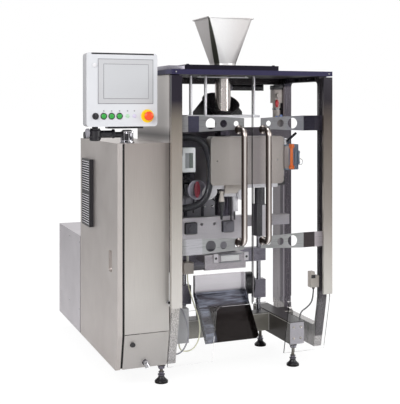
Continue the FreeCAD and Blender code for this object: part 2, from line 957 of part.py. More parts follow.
def film_roller():
    """The film's upper guide roller on its bracket."""
    height = s.plate_low - s.roller_drop
    roller = rod(s.roller_left, s.roller_y, height, s.roller_radius, s.roller_long, ALONG_X)
    start = s.roller_left + s.roller_long
    bracket = span(
        start, s.roller_y - s.roller_radius, height - s.roller_radius,
        start + s.roller_bracket, s.beam_front + s.roller_radius * 2, s.plate_low - s.beam_tall,
    )
    node("film_guide_roller", fuse(roller, bracket))


def rails():
    """The cross rails between the side frames: the rear top beam and the three that carry the units."""
    wide = s.frame_inner_right - s.frame_inner_left
    beam = box(
        s.frame_inner_left, s.beam_front, s.plate_low - s.beam_tall,
        wide, s.frame_back - s.beam_front, s.beam_tall,
    )
    carriers = []
    back = s.rail_front + s.rail_deep
    for low in (s.top_rail_low, s.upper_rail_low, s.middle_rail_low):
        carriers.append(box(s.frame_inner_left, s.rail_front, low, wide, s.rail_deep, s.rail_tall))
        for start in (s.frame_inner_left, s.frame_inner_right - s.column_panel_thick):
            carriers.append(
                box(start, back, low, s.column_panel_thick, s.column_front - back, s.rail_tall)
            )
    node("cross_rails", fuse(beam, *carriers))


def sealing_unit():
    """The long seam sealing unit: its yoke round the forming tube, cover, pull box and drives."""
    left, right = s.unit_left, s.unit_right
    yoke = [
        (left, s.unit_front),
        (right, s.unit_front),
        (right, s.rail_front),
        (right - s.unit_arm, s.rail_front),
        (right - s.unit_arm, s.unit_front + s.unit_bar),
        (left + s.unit_arm, s.unit_front + s.unit_bar),
        (left + s.unit_arm, s.rail_front),
        (left, s.rail_front),
    ]
    yoke_body = extrude("XY", s.unit_low, s.unit_high - s.unit_low, yoke)
    cover = rounded_plate(
        s.seal_cover_left, s.seal_cover_front, s.seal_cover_low,
        s.seal_cover_right - s.seal_cover_left, s.unit_front - s.seal_cover_front,
        s.seal_cover_high - s.seal_cover_low, s.seal_cover_corner,
    )
    node("seal_unit_cover", cover)

    low = s.unit_low - s.pull_tall
    pull = box(s.pull_left, s.unit_front, low, s.pull_wide, s.unit_bar, s.pull_tall)
    pulley = rod(
        s.pulley_x, s.unit_front - s.pulley_thick, s.unit_low - s.pulley_drop,
        s.pulley_radius, s.pulley_thick, ALONG_Y,
    )
    wheel = rod(
        left + s.wheel_inset, s.unit_front - s.pulley_thick, s.unit_low - s.wheel_drop,
        s.wheel_radius, s.pulley_thick, ALONG_Y,
    )
    node("sealing_yoke", fuse(yoke_body, pull, pulley, wheel))

    half = s.servo_side / 2
    servo_y = s.unit_front + s.unit_bar / 2
    motor = rod(s.servo_x, servo_y, s.servo_joint, half, s.unit_low - s.servo_joint)
    tall = s.servo_joint - s.servo_low
    body = box(s.servo_x - half, servo_y - half, s.servo_low, s.servo_side, s.servo_side, tall)
    belt = rod(s.unit_right, s.motor_y, s.motor_height, s.motor_radius, s.motor_long, ALONG_X)
    node("drive_motors", fuse(motor, body, belt, *jaw_gearboxes()))


def coder():
    """The date coder at the right of the sealing unit, with its clamp lever."""
    tall = s.coder_high - s.coder_low
    unit = box(s.unit_right, s.coder_front, s.coder_low, s.coder_wide, s.coder_deep, tall)
    beside = s.seal_cover_right - s.unit_right + s.coder_gap
    relief = box(s.unit_right, s.coder_front, s.coder_low, beside, s.unit_front - s.coder_front, tall)
    middle_x = s.unit_right + s.coder_wide / 2
    middle_y = s.coder_front + s.coder_deep / 2
    stem = rod(middle_x, middle_y, s.coder_high, s.clamp_radius * 2, s.clamp_tall)
    lean = FreeCAD.Rotation(Y_AXIS, 52)
    knee = s.coder_high + s.clamp_tall - s.clamp_radius
    lever = rod(middle_x, middle_y, knee, s.clamp_radius, s.clamp_lever, lean)
    node("coder_unit", fuse(cut(unit, relief), stem, lever))


def display():
    """The small controller in its pale frame, bracketed off the left post."""
    case = span(
        s.display_left, s.display_front, s.display_low,
        s.display_left + s.display_wide, s.display_front + s.display_deep, s.display_high,
    )
    recess = span(
        s.display_left + s.display_rim, s.display_front, s.display_low + s.display_rim,
        s.display_left + s.display_wide - s.display_rim, s.display_front + s.display_recess,
        s.display_high - s.display_rim,
    )
    arm = span(
        s.frame_inner_left, s.frame_front, s.display_low + s.display_rim,
        s.display_left, s.display_front + s.display_deep, s.display_high - s.display_rim * 4,
    )
    node("temperature_controller", fuse(cut(case, recess), arm))


def tube(points, radius, corners):
    """A round tube along straight runs, with an arc of its own radius at every corner."""
    edges = []
    start = points[0]
    for before, bend, after, corner in zip(points, points[1:], points[2:], corners):
        inward = (before - bend).normalize()
        outward = (after - bend).normalize()
        half = inward.getAngle(outward) / 2
        reach = corner / math.tan(half)
        first = bend + inward * reach
        last = bend + outward * reach
        centre = bend + (inward + outward).normalize() * (corner / math.sin(half))
        middle = centre + (bend - centre).normalize() * corner
        if (first - start).Length > 1e-6:
            edges.append(Part.makeLine(start, first))
        edges.append(Part.Arc(first, middle, last).toShape())
        start = last
    edges.append(Part.makeLine(start, points[-1]))
    path = Part.Wire(edges)
    heading = (points[1] - points[0]).normalize()
    ring = Part.Wire(Part.makeCircle(radius, points[0], heading))
    solid = path.makePipeShell([ring], True, True)
    section = math.pi * radius ** 2
    if abs(solid.Volume / (section * path.Length) - 1) > 0.02:
        raise RuntimeError("The tube's volume is not its section times its length.")
    return solid


def soft_tube(name, points, radius):
    """A hose or cable that bends at each point as widely as the runs beside it allow."""
    corners = []
    for before, bend, after in zip(points, points[1:], points[2:]):
        shorter = min((bend - before).Length, (after - bend).Length)
        turn = (bend - before).getAngle(after - bend)
        corners.append(SHARE_OF_RUN * shorter / math.tan(turn / 2))
    print(f"{name} bends at", ", ".join(f"{corner:.0f}" for corner in corners), "mm")
    return tube(points, radius, corners)


def conduit_loop():
    """The stiff black conduit that loops out of the left side and back into the cabinet."""
    start = s.frame_left.number
    y = s.loop_y.number
    out = s.loop_out.number
    points = [
        FreeCAD.Vector(start, y, s.loop_top.number),
        FreeCAD.Vector(out, y, s.loop_top.number),
        FreeCAD.Vector(out, y, s.loop_low.number),
        FreeCAD.Vector(start, y, s.loop_low.number),
    ]
    corners = [s.loop_corner.number] * 2
    made_node("conduit_loop", tube(points, s.loop_radius.number, corners))


def base():
    """The welded base: cross beam, the beam over the right-hand feet, and the chute's two legs."""
    cross = span(
        s.frame_inner_left, s.cross_front, s.cross_low,
        s.frame_inner_right, s.cross_front + s.cross_deep, s.cross_high,
    )
    beam = span(
        s.right_beam_left, s.right_beam_front, s.right_beam_low,
        s.right_beam_left + s.right_beam_wide, s.right_beam_back, s.right_beam_high,
    )
    legs = []
    for x in (s.chute_left + s.chute_leg_inset, s.path_x):
        front = s.cross_front + s.chute_thick
        legs.append(
            span(x, front, s.cross_high, x + s.chute_leg, front + s.chute_leg, s.chute_top - s.chute_flange)
        )
    node("base_frame", fuse(cross, beam, *legs))


def feet():
    """Four levelling feet: disc, cone, stem and nut."""
    spots = (
        (s.foot_left, s.foot_front, s.underside),
        (s.foot_right, s.foot_front, s.right_beam_low),
        (s.foot_right, s.foot_back, s.right_beam_low),
        (s.foot_reel_x, s.foot_reel_y, s.underside),
    )
    parts = []
    for x, y, seat in spots:
        lift = s.foot_disc + s.foot_cone
        parts.append(rod(x, y, 0, s.foot_radius, s.foot_disc))
        parts.append(cone(x, y, s.foot_disc, s.foot_radius, s.stem_radius * 1.5, s.foot_cone))
        parts.append(rod(x, y, lift, s.stem_radius, seat - lift))
        nut = doc.addObject("Part::Prism", "Nut")
        nut.Polygon = 6
        bind(nut, "Circumradius", s.nut_radius)
        bind(nut, "Height", s.nut_tall)
        parts.append(place(nut, x, y, seat - s.nut_tall))
    node("levelling_feet", fuse(*parts))


def mounting_wall():
    """The upright plate behind the rails, and the bank of valves in front of it at the left."""
    front = s.rail_front + s.rail_deep
    left = s.frame_inner_left + s.column_panel_thick
    wall = rounded_plate(
        left, front, s.wall_low, s.wall_right - left, s.wall_thick,
        s.wall_high - s.wall_low, s.wall_corner,
    )
    pitch = s.valve_wide + s.valve_gap
    base = box(
        s.valve_left, front - s.valve_base, s.valve_low, pitch * VALVES + s.valve_gap,
        s.valve_base, s.valve_tall,
    )
    bank = [wall, base]
    for place_of in range(VALVES):
        bank.append(
            box(
                s.valve_left + s.valve_gap + pitch * place_of, front - s.valve_deep,
                s.valve_low + s.valve_inset, s.valve_wide, s.valve_deep - s.valve_base,
                s.valve_tall - s.valve_inset * 2,
            )
        )
    node("mounting_wall", fuse(*bank))


def jaw_hoses():
    """The manifold on the crosshead, its two hoses from the front jaw, and the pale hose below."""
    front = s.crosshead_front - s.manifold_deep
    manifold = box(
        s.manifold_left, front, s.manifold_low, s.manifold_wide, s.manifold_deep,
        s.manifold_high - s.manifold_low,
    )
    node("hose_manifold", manifold)
    middle = s.manifold_left.number + s.manifold_wide.number / 2
    start_x = s.jaw_left.number - s.jaw_arm.number / 2
    start_y = s.jaw_front.number + s.jaw_hose_setback.number
    start_z = s.jaw_low.number + s.jaw_tall.number
    end_y = front.number + s.jaw_hose_pitch.number
    rise = s.jaw_hose_rise.number
    drop = start_z - s.manifold_high.number
    hoses = []
    for step in range(2):
        setback = s.jaw_hose_pitch.number * step
        route = [
            FreeCAD.Vector(
                start_x + (middle - start_x) * across,
                start_y + setback + (end_y - start_y) * back,
                start_z + (rise * up if up >= 0 else -drop),
            )
            for across, back, up in JAW_ROUTE
        ]
        hoses.append(soft_tube("jaw hose", route, s.jaw_hose_radius.number))
    made_node("jaw_hose_front", hoses[0])
    made_node("jaw_hose_rear", hoses[1])

    end_x = s.frame_inner_left.number + s.junction_wide.number / 2
    start_y = front.number + s.manifold_deep.number / 2
    end_y = s.junction_front.number + s.junction_deep.number / 2
    low = s.pale_hose_low.number
    fall = s.manifold_low.number - low
    route = [
        FreeCAD.Vector(
            middle + (end_x - middle) * across, start_y + (end_y - start_y) * forward, low + fall * up
        )
        for across, forward, up in PALE_ROUTE
    ]
    route[-1].z = s.junction_low.number
    made_node("pale_hose", soft_tube("pale hose", route, s.pale_hose_radius.number))


def jaw_group():
    """The crosswise sealing jaws on their crosshead, guide rods and carriage plate."""
    places = (s.rod_left, s.rod_right)
    length = s.middle_rail_low - s.cross_high
    node("jaw_guide_rods", fuse(*[rod(x, s.rod_y, s.cross_high, s.rod_radius, length) for x in places]))

    def bored(block, low, tall, rods):
        bores = [rod(x, s.rod_y, low, s.rod_radius + s.rod_fit, tall) for x in rods]
        return cut(block, *bores)

    head = span(
        s.rod_left - s.crosshead_end, s.crosshead_front, s.crosshead_low,
        s.rod_right + s.crosshead_end, s.crosshead_front + s.crosshead_deep,
        s.crosshead_low + s.crosshead_tall,
    )
    blocks = [bored(head, s.crosshead_low, s.crosshead_tall, places)]
    for x in places:
        block = span(
            x - s.crosshead_end, s.crosshead_front, s.block_low,
            x + s.crosshead_end, s.crosshead_front + s.crosshead_deep, s.block_low + s.block_tall,
        )
        blocks.append(bored(block, s.block_low, s.block_tall, (x,)))

    left, right = s.jaw_left, s.jaw_left + s.jaw_wide
    front_jaw = [
        (left - s.jaw_arm, s.jaw_front),
        (right + s.jaw_arm, s.jaw_front),
        (right + s.jaw_arm, s.crosshead_front),
        (right, s.crosshead_front),
        (right, s.jaw_front + s.jaw_deep),
        (left, s.jaw_front + s.jaw_deep),
        (left, s.crosshead_front),
        (left - s.jaw_arm, s.crosshead_front),
    ]
    yoke = extrude("XY", s.jaw_low, s.jaw_tall, front_jaw)
    rear = span(
        left + s.jaw_clear, s.jaw_front + s.jaw_deep + s.jaw_gap, s.jaw_low,
        right - s.jaw_clear, s.crosshead_front, s.jaw_low + s.jaw_tall,
    )
    node("jaw_crosshead", fuse(*blocks, rear))
    lip = s.jaw_front - s.tray_thick
    tray = [
        (lip, s.jaw_low + s.jaw_tall / 2),
        (lip, s.tray_low),
        (lip + s.tray_deep, s.tray_low),
        (lip + s.tray_deep, s.tray_low + s.tray_thick),
        (lip + s.tray_thick, s.tray_low + s.tray_thick),
        (lip + s.tray_thick, s.jaw_low + s.jaw_tall / 2),
    ]
    node("front_jaw", fuse(yoke, extrude("YZ", left - s.jaw_arm, s.jaw_wide + s.jaw_arm * 2, tray)))

    outline = [
        (s.carriage_left, s.carriage_low),
        (s.carriage_right, s.carriage_low),
        (s.carriage_right, s.carriage_high),
        (s.carriage_left, s.carriage_high),
    ]
    holes = []
    for column in range(2):
        across = s.carriage_left + s.carriage_hole_in + s.carriage_hole_pitch * column
        holes.append({"x": across, "y": s.carriage_high - s.carriage_hole_drop, "radius": s.carriage_hole})
    plate = extrude("XZ", s.rail_front, s.carriage_thick, outline, *holes)
    windows = []
    for left in gearbox_windows():
        low, high = s.carriage_low + s.drive_window_up, s.carriage_low + s.drive_window_up + s.drive_window_tall
        right = left + s.drive_window_wide
        opening = [(left, low), (right, low), (right, high), (left, high)]
        window = extrude("XZ", s.rail_front, s.carriage_thick, opening)
        round_edges(window, s.drive_window_corner, lambda line: is_along(line, Y_AXIS))
        windows.append(window)
    face = s.rail_front - s.carriage_thick
    lip = span(
        s.carriage_left, face - s.carriage_lip, s.carriage_high - s.carriage_lip_thick,
        s.carriage_right, face, s.carriage_high,
    )
    node("jaw_carriage_plate", fuse(cut(plate, *windows), lip))


def gearbox_windows():
    """The left edges of the two openings in the carriage plate."""
    first = s.carriage_left + s.drive_window_in
    return first, first + s.drive_window_pitch


def jaw_gearboxes():
    """The two jaw drives, seated on the middle rail and showing through the carriage plate."""
    pieces = []
    for left in gearbox_windows():
        low, back = s.carriage_low + s.drive_window_up, s.rail_front
        front = back - s.gearbox_deep
        pieces.append(
            span(
                left + s.gearbox_gap, front, low + s.gearbox_gap,
                left + s.drive_window_wide - s.gearbox_gap, back, low + s.drive_window_tall - s.gearbox_gap,
            )
        )
        pieces.append(
            rod(
                left + s.drive_window_wide / 2, front - s.gearbox_boss_thick, low + s.drive_window_tall / 2,
                s.gearbox_boss, s.gearbox_boss_thick, ALONG_Y,
            )
        )
    return pieces


def discharge():
    """The bag chute with its turned-up sides, and the drum motor behind it."""
    back = s.cross_front
    thick = s.chute_thick
    slide = [
        (back, s.chute_top),
        (back + thick, s.chute_top),
        (back + thick, s.chute_bend),
        (s.chute_front + thick, s.chute_low),
        (s.chute_front, s.chute_low + thick),
        (back, s.chute_bend + thick),
    ]
    wide = s.chute_right - s.chute_left
    sheet_metal = extrude("YZ", s.chute_left, wide, slide)
    cheek = [
        (back, s.chute_top),
        (back + thick, s.chute_top),
        (back + thick, s.chute_bend),
        (s.chute_front + thick, s.chute_low),
        (s.chute_front - s.chute_flange, s.chute_low + s.chute_flange),
        (back - s.chute_flange, s.chute_bend + s.chute_flange),
        (back - s.chute_flange, s.chute_top),
    ]
    cheeks = [extrude("YZ", x, thick, cheek) for x in (s.chute_left, s.chute_right - thick)]
    node("discharge_chute", fuse(sheet_metal, *cheeks))

    drum = rod(s.drum_left, s.drum_y, s.drum_height, s.drum_radius, s.drum_long, ALONG_X)
    middle = s.drum_left + s.drum_long / 2 - s.drum_foot / 2
    foot = span(
        middle, s.rod_y - s.rod_radius, s.cross_high,
        middle + s.drum_foot, s.cross_front + s.cross_deep, s.drum_height - s.drum_radius / 2,
    )
    node("drum_motor", fuse(drum, foot))


def small_units():
    """The junction box, door switch with its cable, and the air service unit."""
    box_left = s.frame_inner_left
    junction = span(
        box_left, s.junction_front, s.junction_low,
        box_left + s.junction_wide, s.junction_front + s.junction_deep, s.junction_high,
    )
    node("junction_box", junction)

    right = s.frame_inner_right
    body = span(
        right - s.switch_wide, s.switch_front, s.switch_low,
        right, s.switch_front + s.switch_deep, s.switch_high,
    )
    head = span(
        right - s.switch_wide, s.switch_front, s.switch_high,
        right - s.switch_wide / 2, s.switch_front + s.switch_deep, s.switch_high + s.switch_head,
    )
    node("door_switch", fuse(body, head))
    x = right.number - s.switch_wide.number / 2
    y = s.switch_front.number + s.switch_deep.number / 2
    floor = s.right_beam_high.number
    fall = s.switch_low.number - floor
    route = [
        FreeCAD.Vector(
            x - s.cable_reach.number * across, y + s.cable_setback.number * back, floor + fall * up
        )
        for across, back, up in CABLE_ROUTE
    ]
    made_node("door_switch_cable", soft_tube("door switch cable", route, s.cable_radius.number))
    side = s.frame_inner_left.number
    fall = s.hose_high.number - s.hose_low.number
    route = [
        FreeCAD.Vector(side + s.hose_out.number * out, s.hose_y.number, s.hose_low.number + fall * up)
        for out, up in HOSE_ROUTE
    ]
    made_node("grey_hose", soft_tube("grey hose", route, s.hose_radius.number))

    air_right = s.frame_inner_right - s.column_panel_thick
    air_left = air_right - s.air_wide
    front = s.air_back - s.air_deep
    middle_x = air_right - s.air_wide / 2
    middle_y = s.air_back - s.air_deep / 2
    body_low = s.air_high - s.air_body_tall
    body = span(air_left, front, body_low, air_right, s.air_back, s.air_high)
    knob = rod(middle_x, middle_y, s.air_high, s.gauge_radius, s.gauge_radius)
    gauge_z = (body_low + s.air_high) / 2
    gauge = rod(middle_x, front - s.gauge_proud, gauge_z, s.gauge_radius, s.gauge_proud, ALONG_Y)
    low = body_low - s.air_bowl_long
    bowl = rod(middle_x, middle_y, low, s.air_bowl_radius, s.air_bowl_long)
    node("air_service_unit", fuse(body, knob, gauge, bowl))


def door(side, name, hinge_x, stile_out, stile_in, glass_out, notch_x, handle_x):
    """One door leaf: glass, stile, two perforated arms with their knuckles, and a handle."""

    def across(near, far):
        """Order two places along X, whichever side the door is on."""
        return (near, far) if near.number < far.number else (far, near)

    front = s.glass_back - s.glass_thick
    lean = s.glass_lean
    profile = [
        (front, s.glass_top),
        (s.glass_back, s.glass_top),
        (s.glass_back, s.bend_height),
        (s.glass_back + lean, s.glass_bottom),
        (front + lean, s.glass_bottom),
        (front, s.bend_height),
    ]
    edge = s.meeting + s.door_gap / 2 * side
    low_x, high_x = across(edge, glass_out)
    pane = extrude("YZ", low_x, high_x - low_x, profile)
    reach_x = edge - s.notch_corner * 2 * side
    low_x, high_x = across(reach_x, notch_x)
    outline = [
        (low_x, s.glass_bottom - s.notch_corner * 2),
        (high_x, s.glass_bottom - s.notch_corner * 2),
        (high_x, s.notch_top),
        (low_x, s.notch_top),
    ]
    notch = extrude("XZ", s.glass_back + lean * 2, s.glass_thick + lean * 3, outline)
    round_edges(notch, s.notch_corner, lambda line: is_along(line, Y_AXIS))
    node(f"{name}_glass", cut(pane, notch))

    low_x, high_x = across(stile_out, stile_in)
    face = span(low_x, front - s.stile_thick, s.stile_low, high_x, front, s.stile_high)
    low_x, high_x = across(stile_out, stile_out - s.stile_wrap * side)
    wrap = span(low_x, front, s.stile_low, high_x, s.glass_back, s.stile_high)
    node(f"{name}_stile", fuse(face, wrap))

    arms = []
    start = s.meeting + s.arm_inner * side
    end = s.meeting + s.arm_outer * side
    for height in (s.arm_upper, s.arm_lower):
        blade = [
            (start, height - s.arm_tip / 2),
            (end, height - s.arm_tall / 2),
            (end, height + s.arm_tall / 2),
            (start, height + s.arm_tip / 2),
        ]
        holes = [
            {"x": end - (s.hole_first + s.hole_pitch * step) * side, "y": height, "radius": radius}
            for step, radius in enumerate((s.big_hole_radius, s.middle_hole_radius, s.small_hole_radius))
        ]
        plate = extrude("XZ", s.glass_back + s.arm_thick, s.arm_thick, blade, *holes)
        low_x, high_x = across(end, hinge_x)
        link = box(
            low_x, s.glass_back, height - s.arm_link / 2, high_x - low_x, s.arm_thick, s.arm_link
        )
        low_x, high_x = across(hinge_x, hinge_x - s.link_block * side)
        low_z = height - s.knuckle_tall / 2
        block = box(low_x, s.glass_back, low_z, high_x - low_x, s.hinge_y - s.glass_back, s.knuckle_tall)
        barrel = rod(hinge_x, s.hinge_y, low_z, s.knuckle_radius, s.knuckle_tall)
        bore = rod(hinge_x, s.hinge_y, low_z, s.pin_radius + s.pin_play, s.knuckle_tall)
        arms.append(cut(fuse(plate, link, block, barrel), bore))
    node(f"{name}_arms", fuse(*arms))

    y = s.handle_y
    bend = s.handle_bend
    grip = [rod(handle_x, y, s.handle_low + bend, s.handle_radius, s.handle_high - s.handle_low - bend * 2)]
    for height, rise in ((s.handle_low, 1), (s.handle_high, -1)):
        elbow = doc.addObject("Part::Torus", "Elbow")
        elbow.Angle3 = 90
        bind(elbow, "Radius1", bend)
        bind(elbow, "Radius2", s.handle_radius)
        upward = FreeCAD.Vector(0, 0, -rise)
        turn = FreeCAD.Rotation(-Y_AXIS, upward, FreeCAD.Vector(rise, 0, 0), "XYZ")
        grip.append(place(elbow, handle_x, y + bend, height + bend * rise, turn))
        grip.append(rod(handle_x, y + bend, height, s.handle_radius, front - y - bend, ALONG_Y))
        grip.append(rod(handle_x, front - s.rose_thick, height, s.rose_radius, s.rose_thick, ALONG_Y))
    node(f"{name}_handle", fuse(*grip))


def doors():
    """Both door leaves, and the fixed hinge brackets with their pins on the posts."""
    door(
        1, "right_door", s.hinge_right, s.plate_right, s.stile_right_in,
        s.glass_right, s.notch_right, s.meeting + s.handle_right_in,
    )
    door(
        -1, "left_door", s.hinge_left, s.plate_left, s.stile_left_in,
        s.glass_left, s.notch_left, s.meeting - s.handle_left_in,
    )
    brackets = []
    for side, hinge_x in ((1, s.hinge_right), (-1, s.hinge_left)):
        inward = hinge_x - s.leaf_wide * side
        low_x = inward if side > 0 else hinge_x
        for height in (s.arm_upper, s.arm_lower):
            offset = s.knuckle_tall / 2 + s.knuckle_play
            pin_low = height - offset - s.knuckle_fixed
            parts = [rod(hinge_x, s.hinge_y, pin_low, s.pin_radius, (offset + s.knuckle_fixed) * 2)]
            for low_z in (pin_low, height + offset):
                parts.append(rod(hinge_x, s.hinge_y, low_z, s.knuckle_radius, s.knuckle_fixed))
                block_x = hinge_x - s.link_block if side > 0 else hinge_x
                deep = s.frame_front - s.hinge_y
                parts.append(box(block_x, s.hinge_y, low_z, s.link_block, deep, s.knuckle_fixed))
                leaf_y = s.frame_front - s.leaf_thick
                parts.append(box(low_x, leaf_y, low_z, s.leaf_wide, s.leaf_thick, s.knuckle_fixed))
            brackets.append(fuse(*parts))
    node("door_hinge_brackets", fuse(*brackets))


def control_panel():
    """The control panel's housing, bezel, screen and controls, on its swivelling arm."""
    housing = rounded_plate(
        s.panel_left, s.panel_front, s.panel_low, s.panel_wide, s.panel_deep, s.panel_tall, s.panel_corner
    )
    node("panel_housing", housing)
    front = s.panel_front
    bezel_front = front - s.bezel_thick
    bezel = rounded_plate(
        s.bezel_left, bezel_front, s.bezel_low, s.bezel_wide, s.bezel_thick, s.bezel_tall, s.bezel_corner
    )
    recess = box(
        s.screen_left, bezel_front, s.screen_low, s.screen_wide, s.screen_recess, s.screen_tall
    )
    node("panel_screen", cut(bezel, recess))

    def button(x, height, radius, proud):
        return rod(x, front - proud, height, radius, proud, ALONG_Y)

    places = [(s.selector_x, s.button_height)]
    places += [(s.button_first + s.button_pitch * step, s.button_height) for step in range(3)]
    rings = [button(x, height, s.ring_radius, s.ring_proud) for x, height in places]
    knob = button(s.selector_x, s.button_height, s.button_radius, s.button_proud)
    lamps = []
    for x, height in places[1:]:
        lamps.append(
            rod(
                x, front - s.button_proud, height, s.button_radius, s.button_proud - s.ring_proud, ALONG_Y
            )
        )
    port = button(s.usb_x, s.usb_height, s.button_radius, s.ring_proud)
    node("panel_buttons", fuse(*rings, knob, *lamps, port))
    disc = button(s.stop_x, s.button_height, s.stop_plate, s.stop_plate_thick)
    neck = rod(
        s.stop_x, front - s.stop_proud / 2, s.button_height, s.stop_neck,
        s.stop_proud / 2 - s.stop_plate_thick, ALONG_Y,
    )
    head = rod(s.stop_x, front - s.stop_proud, s.button_height, s.stop_radius, s.stop_proud / 2, ALONG_Y)
    node("emergency_stop", fuse(disc, neck, head))

    x, y = s.swivel_x, s.swivel_y
    seat = s.cabinet_top + s.bracket_thick
    low = seat + s.swivel_play
    sleeve = rod(x, y, low, s.swivel_sleeve, s.swivel_tall)
    arm = rod(s.knuckle_x, y, s.arm_height, s.arm_radius, x - s.knuckle_x, ALONG_X)
    elbow = rod(s.knuckle_x, y - s.elbow_wide / 2, s.arm_height, s.elbow_radius, s.elbow_wide, ALONG_Y)
    neck = rod(s.knuckle_x, y, s.arm_height, s.arm_radius, s.panel_low - s.arm_height)
    reach = s.elbow_radius + s.cap_long
    cap = rod(s.knuckle_x - reach, y, s.arm_height, s.cap_radius, reach, ALONG_X)
    bore = rod(x, y, low, s.swivel_pin + s.pin_play, s.swivel_tall)
    node("panel_arm", cut(fuse(sleeve, arm, elbow, neck, cap), bore))

    half = s.bracket_wide / 2
    plate = box(
        x - half, y - s.bracket_deep / 2, s.cabinet_top, s.bracket_wide, s.bracket_deep, s.bracket_thick
    )
    pin = rod(x, y, seat, s.swivel_pin, s.swivel_tall + s.swivel_play * 2)
    top_cap = rod(x, y, low + s.swivel_tall + s.swivel_play, s.swivel_sleeve * 0.7, s.swivel_cap)
    wing = box(
        x + half - s.wing_thick, y - s.bracket_deep / 2, seat, s.wing_thick, s.bracket_deep,
        s.wing_tall - s.bracket_thick,
    )
    node("panel_bracket", fuse(plate, pin, top_cap, wing))


cabinet()
vent_cover()
reel_housing()
side_frames()
top()
hopper()
forming_tube()
forming_shoulder()
shoulder_hanger()
film_roller()
rails()
sealing_unit()
coder()
display()
conduit_loop()
base()
feet()
jaw_group()
mounting_wall()
jaw_hoses()
discharge()
small_units()
doors()
control_panel()

doc.recompute()
for thing in doc.Objects:
    if "Invalid" in thing.State or "Error" in thing.State:
        raise RuntimeError(f"{thing.Label} failed: {thing.State}")
for thing in nodes:
    if thing.Shape.isNull() or not thing.Shape.isValid() or not thing.Shape.Solids:
        raise RuntimeError(f"{thing.Label} has no valid solid")

os.makedirs("parts", exist_ok=True)
for thing in nodes:
    thing.Shape.exportStep(os.path.join("parts", f"{thing.Label}.step"))
print(f"{len(nodes)} sub-parts written")
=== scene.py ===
"""The looks of a vertical form fill seal machine: finishes, fittings, light and camera."""

import math

import bpy
from mathutils import Matrix, Vector


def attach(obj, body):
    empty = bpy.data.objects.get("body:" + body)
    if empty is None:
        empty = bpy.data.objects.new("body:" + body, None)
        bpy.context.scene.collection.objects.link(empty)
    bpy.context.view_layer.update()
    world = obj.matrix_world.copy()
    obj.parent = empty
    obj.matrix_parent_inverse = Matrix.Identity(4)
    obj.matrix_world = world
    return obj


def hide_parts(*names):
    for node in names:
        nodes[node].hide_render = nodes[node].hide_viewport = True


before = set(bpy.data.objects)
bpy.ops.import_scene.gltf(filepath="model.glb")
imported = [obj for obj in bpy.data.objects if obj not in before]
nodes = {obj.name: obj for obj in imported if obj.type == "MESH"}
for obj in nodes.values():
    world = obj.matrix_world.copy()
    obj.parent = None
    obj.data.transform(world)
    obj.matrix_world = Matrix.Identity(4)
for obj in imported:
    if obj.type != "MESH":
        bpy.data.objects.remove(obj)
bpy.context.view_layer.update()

# The machine's own datum: the cabinet's left face, its upper front face and the floor, in mm.
DATUM = (446.0, 525.5, 0.0)
MM = 0.001

# How a grain is stretched: even, along upright streaks, or along level ones.
EVEN = (1, 1, 1)
UPRIGHT = (1, 1, 0.02)
ACROSS = (0.02, 1, 1)

FRONT = (0, -1, 0)
LEFT = (-1, 0, 0)
UP = (0, 0, 1)
DOWN = (0, 0, -1)
# Where the two doors meet, in mm.
MEETING = 624.5


def at(x, y, z):
    """A point given in mm from the machine's datum, in metres in the shared frame."""
    return Vector((x - DATUM[0], y - DATUM[1], z - DATUM[2])) * MM


def linear(hex_colour):
    """An sRGB hex colour as linear red, green, blue and alpha."""
    channels = [int(hex_colour[i : i + 2], 16) / 255 for i in (0, 2, 4)]
    return [c / 12.92 if c <= 0.04045 else ((c + 0.055) / 1.055) ** 2.4 for c in channels] + [1.0]


def add_node(tree, kind, inputs=None, **settings):
    """Adds a node, with its settings, and a value or another node's output for each named socket."""
    node = tree.nodes.new(kind)
    for name, value in settings.items():
        setattr(node, name, value)
    for name, value in (inputs or {}).items():
        if isinstance(value, bpy.types.NodeSocket):
            tree.links.new(value, node.inputs[name])
        else:
            node.inputs[name].default_value = value
    return node


def new_material(name, colour, values):
    """A material with one surface shader, of this colour and with these values in its sockets."""
    made = bpy.data.materials.new(name)
    made.use_nodes = True
    tree = made.node_tree
    tree.nodes.clear()
    shader = add_node(tree, "ShaderNodeBsdfPrincipled", {"Base Color": linear(colour), **values})
    add_node(tree, "ShaderNodeOutputMaterial", {"Surface": shader.outputs["BSDF"]})
    made.diffuse_color = linear(colour)
    return made, tree, shader


def grain(tree, stretch, per_mm, detail=3.0):
    """Noise on the object's own coordinates, stretched along an axis, and this fine."""
    place = add_node(tree, "ShaderNodeTexCoord")
    scale = [1000 * per_mm * s for s in stretch]
    turned = add_node(tree, "ShaderNodeMapping", {"Vector": place.outputs["Object"], "Scale": scale})
    noise = add_node(
        tree, "ShaderNodeTexNoise",
        {"Vector": turned.outputs["Vector"], "Scale": 1.0, "Detail": detail, "Roughness": 0.6},
    )
    return noise.outputs["Fac"]


def blend(tree, factor, first, second):
    """The first colour where the factor is 0, and the second where it is 1."""
    first, second = (linear(c) if isinstance(c, str) else c for c in (first, second))
    inputs = {0: factor, 6: first, 7: second}
    return add_node(tree, "ShaderNodeMix", inputs, data_type="RGBA").outputs[2]


def as_range(tree, value, low, high, from_low=0.3, from_high=0.7):
    """A value carried from one range to another, and held at its ends."""
    mapped = add_node(
        tree, "ShaderNodeMapRange",
        {"Value": value, "From Min": from_low, "From Max": from_high, "To Min": low, "To Max": high},
    )
    return mapped.outputs["Result"]


def link(output, shader, socket):
    """Leads one node's output into a shader's socket."""
    shader.id_data.links.new(output, shader.inputs[socket])


def bump(tree, shader, height, distance_mm, strength):
    """Relief in the surface: its height from a pattern, its depth in mm."""
    inputs = {"Height": height, "Strength": strength, "Distance": distance_mm * MM}
    link(add_node(tree, "ShaderNodeBump", inputs).outputs["Normal"], shader, "Normal")


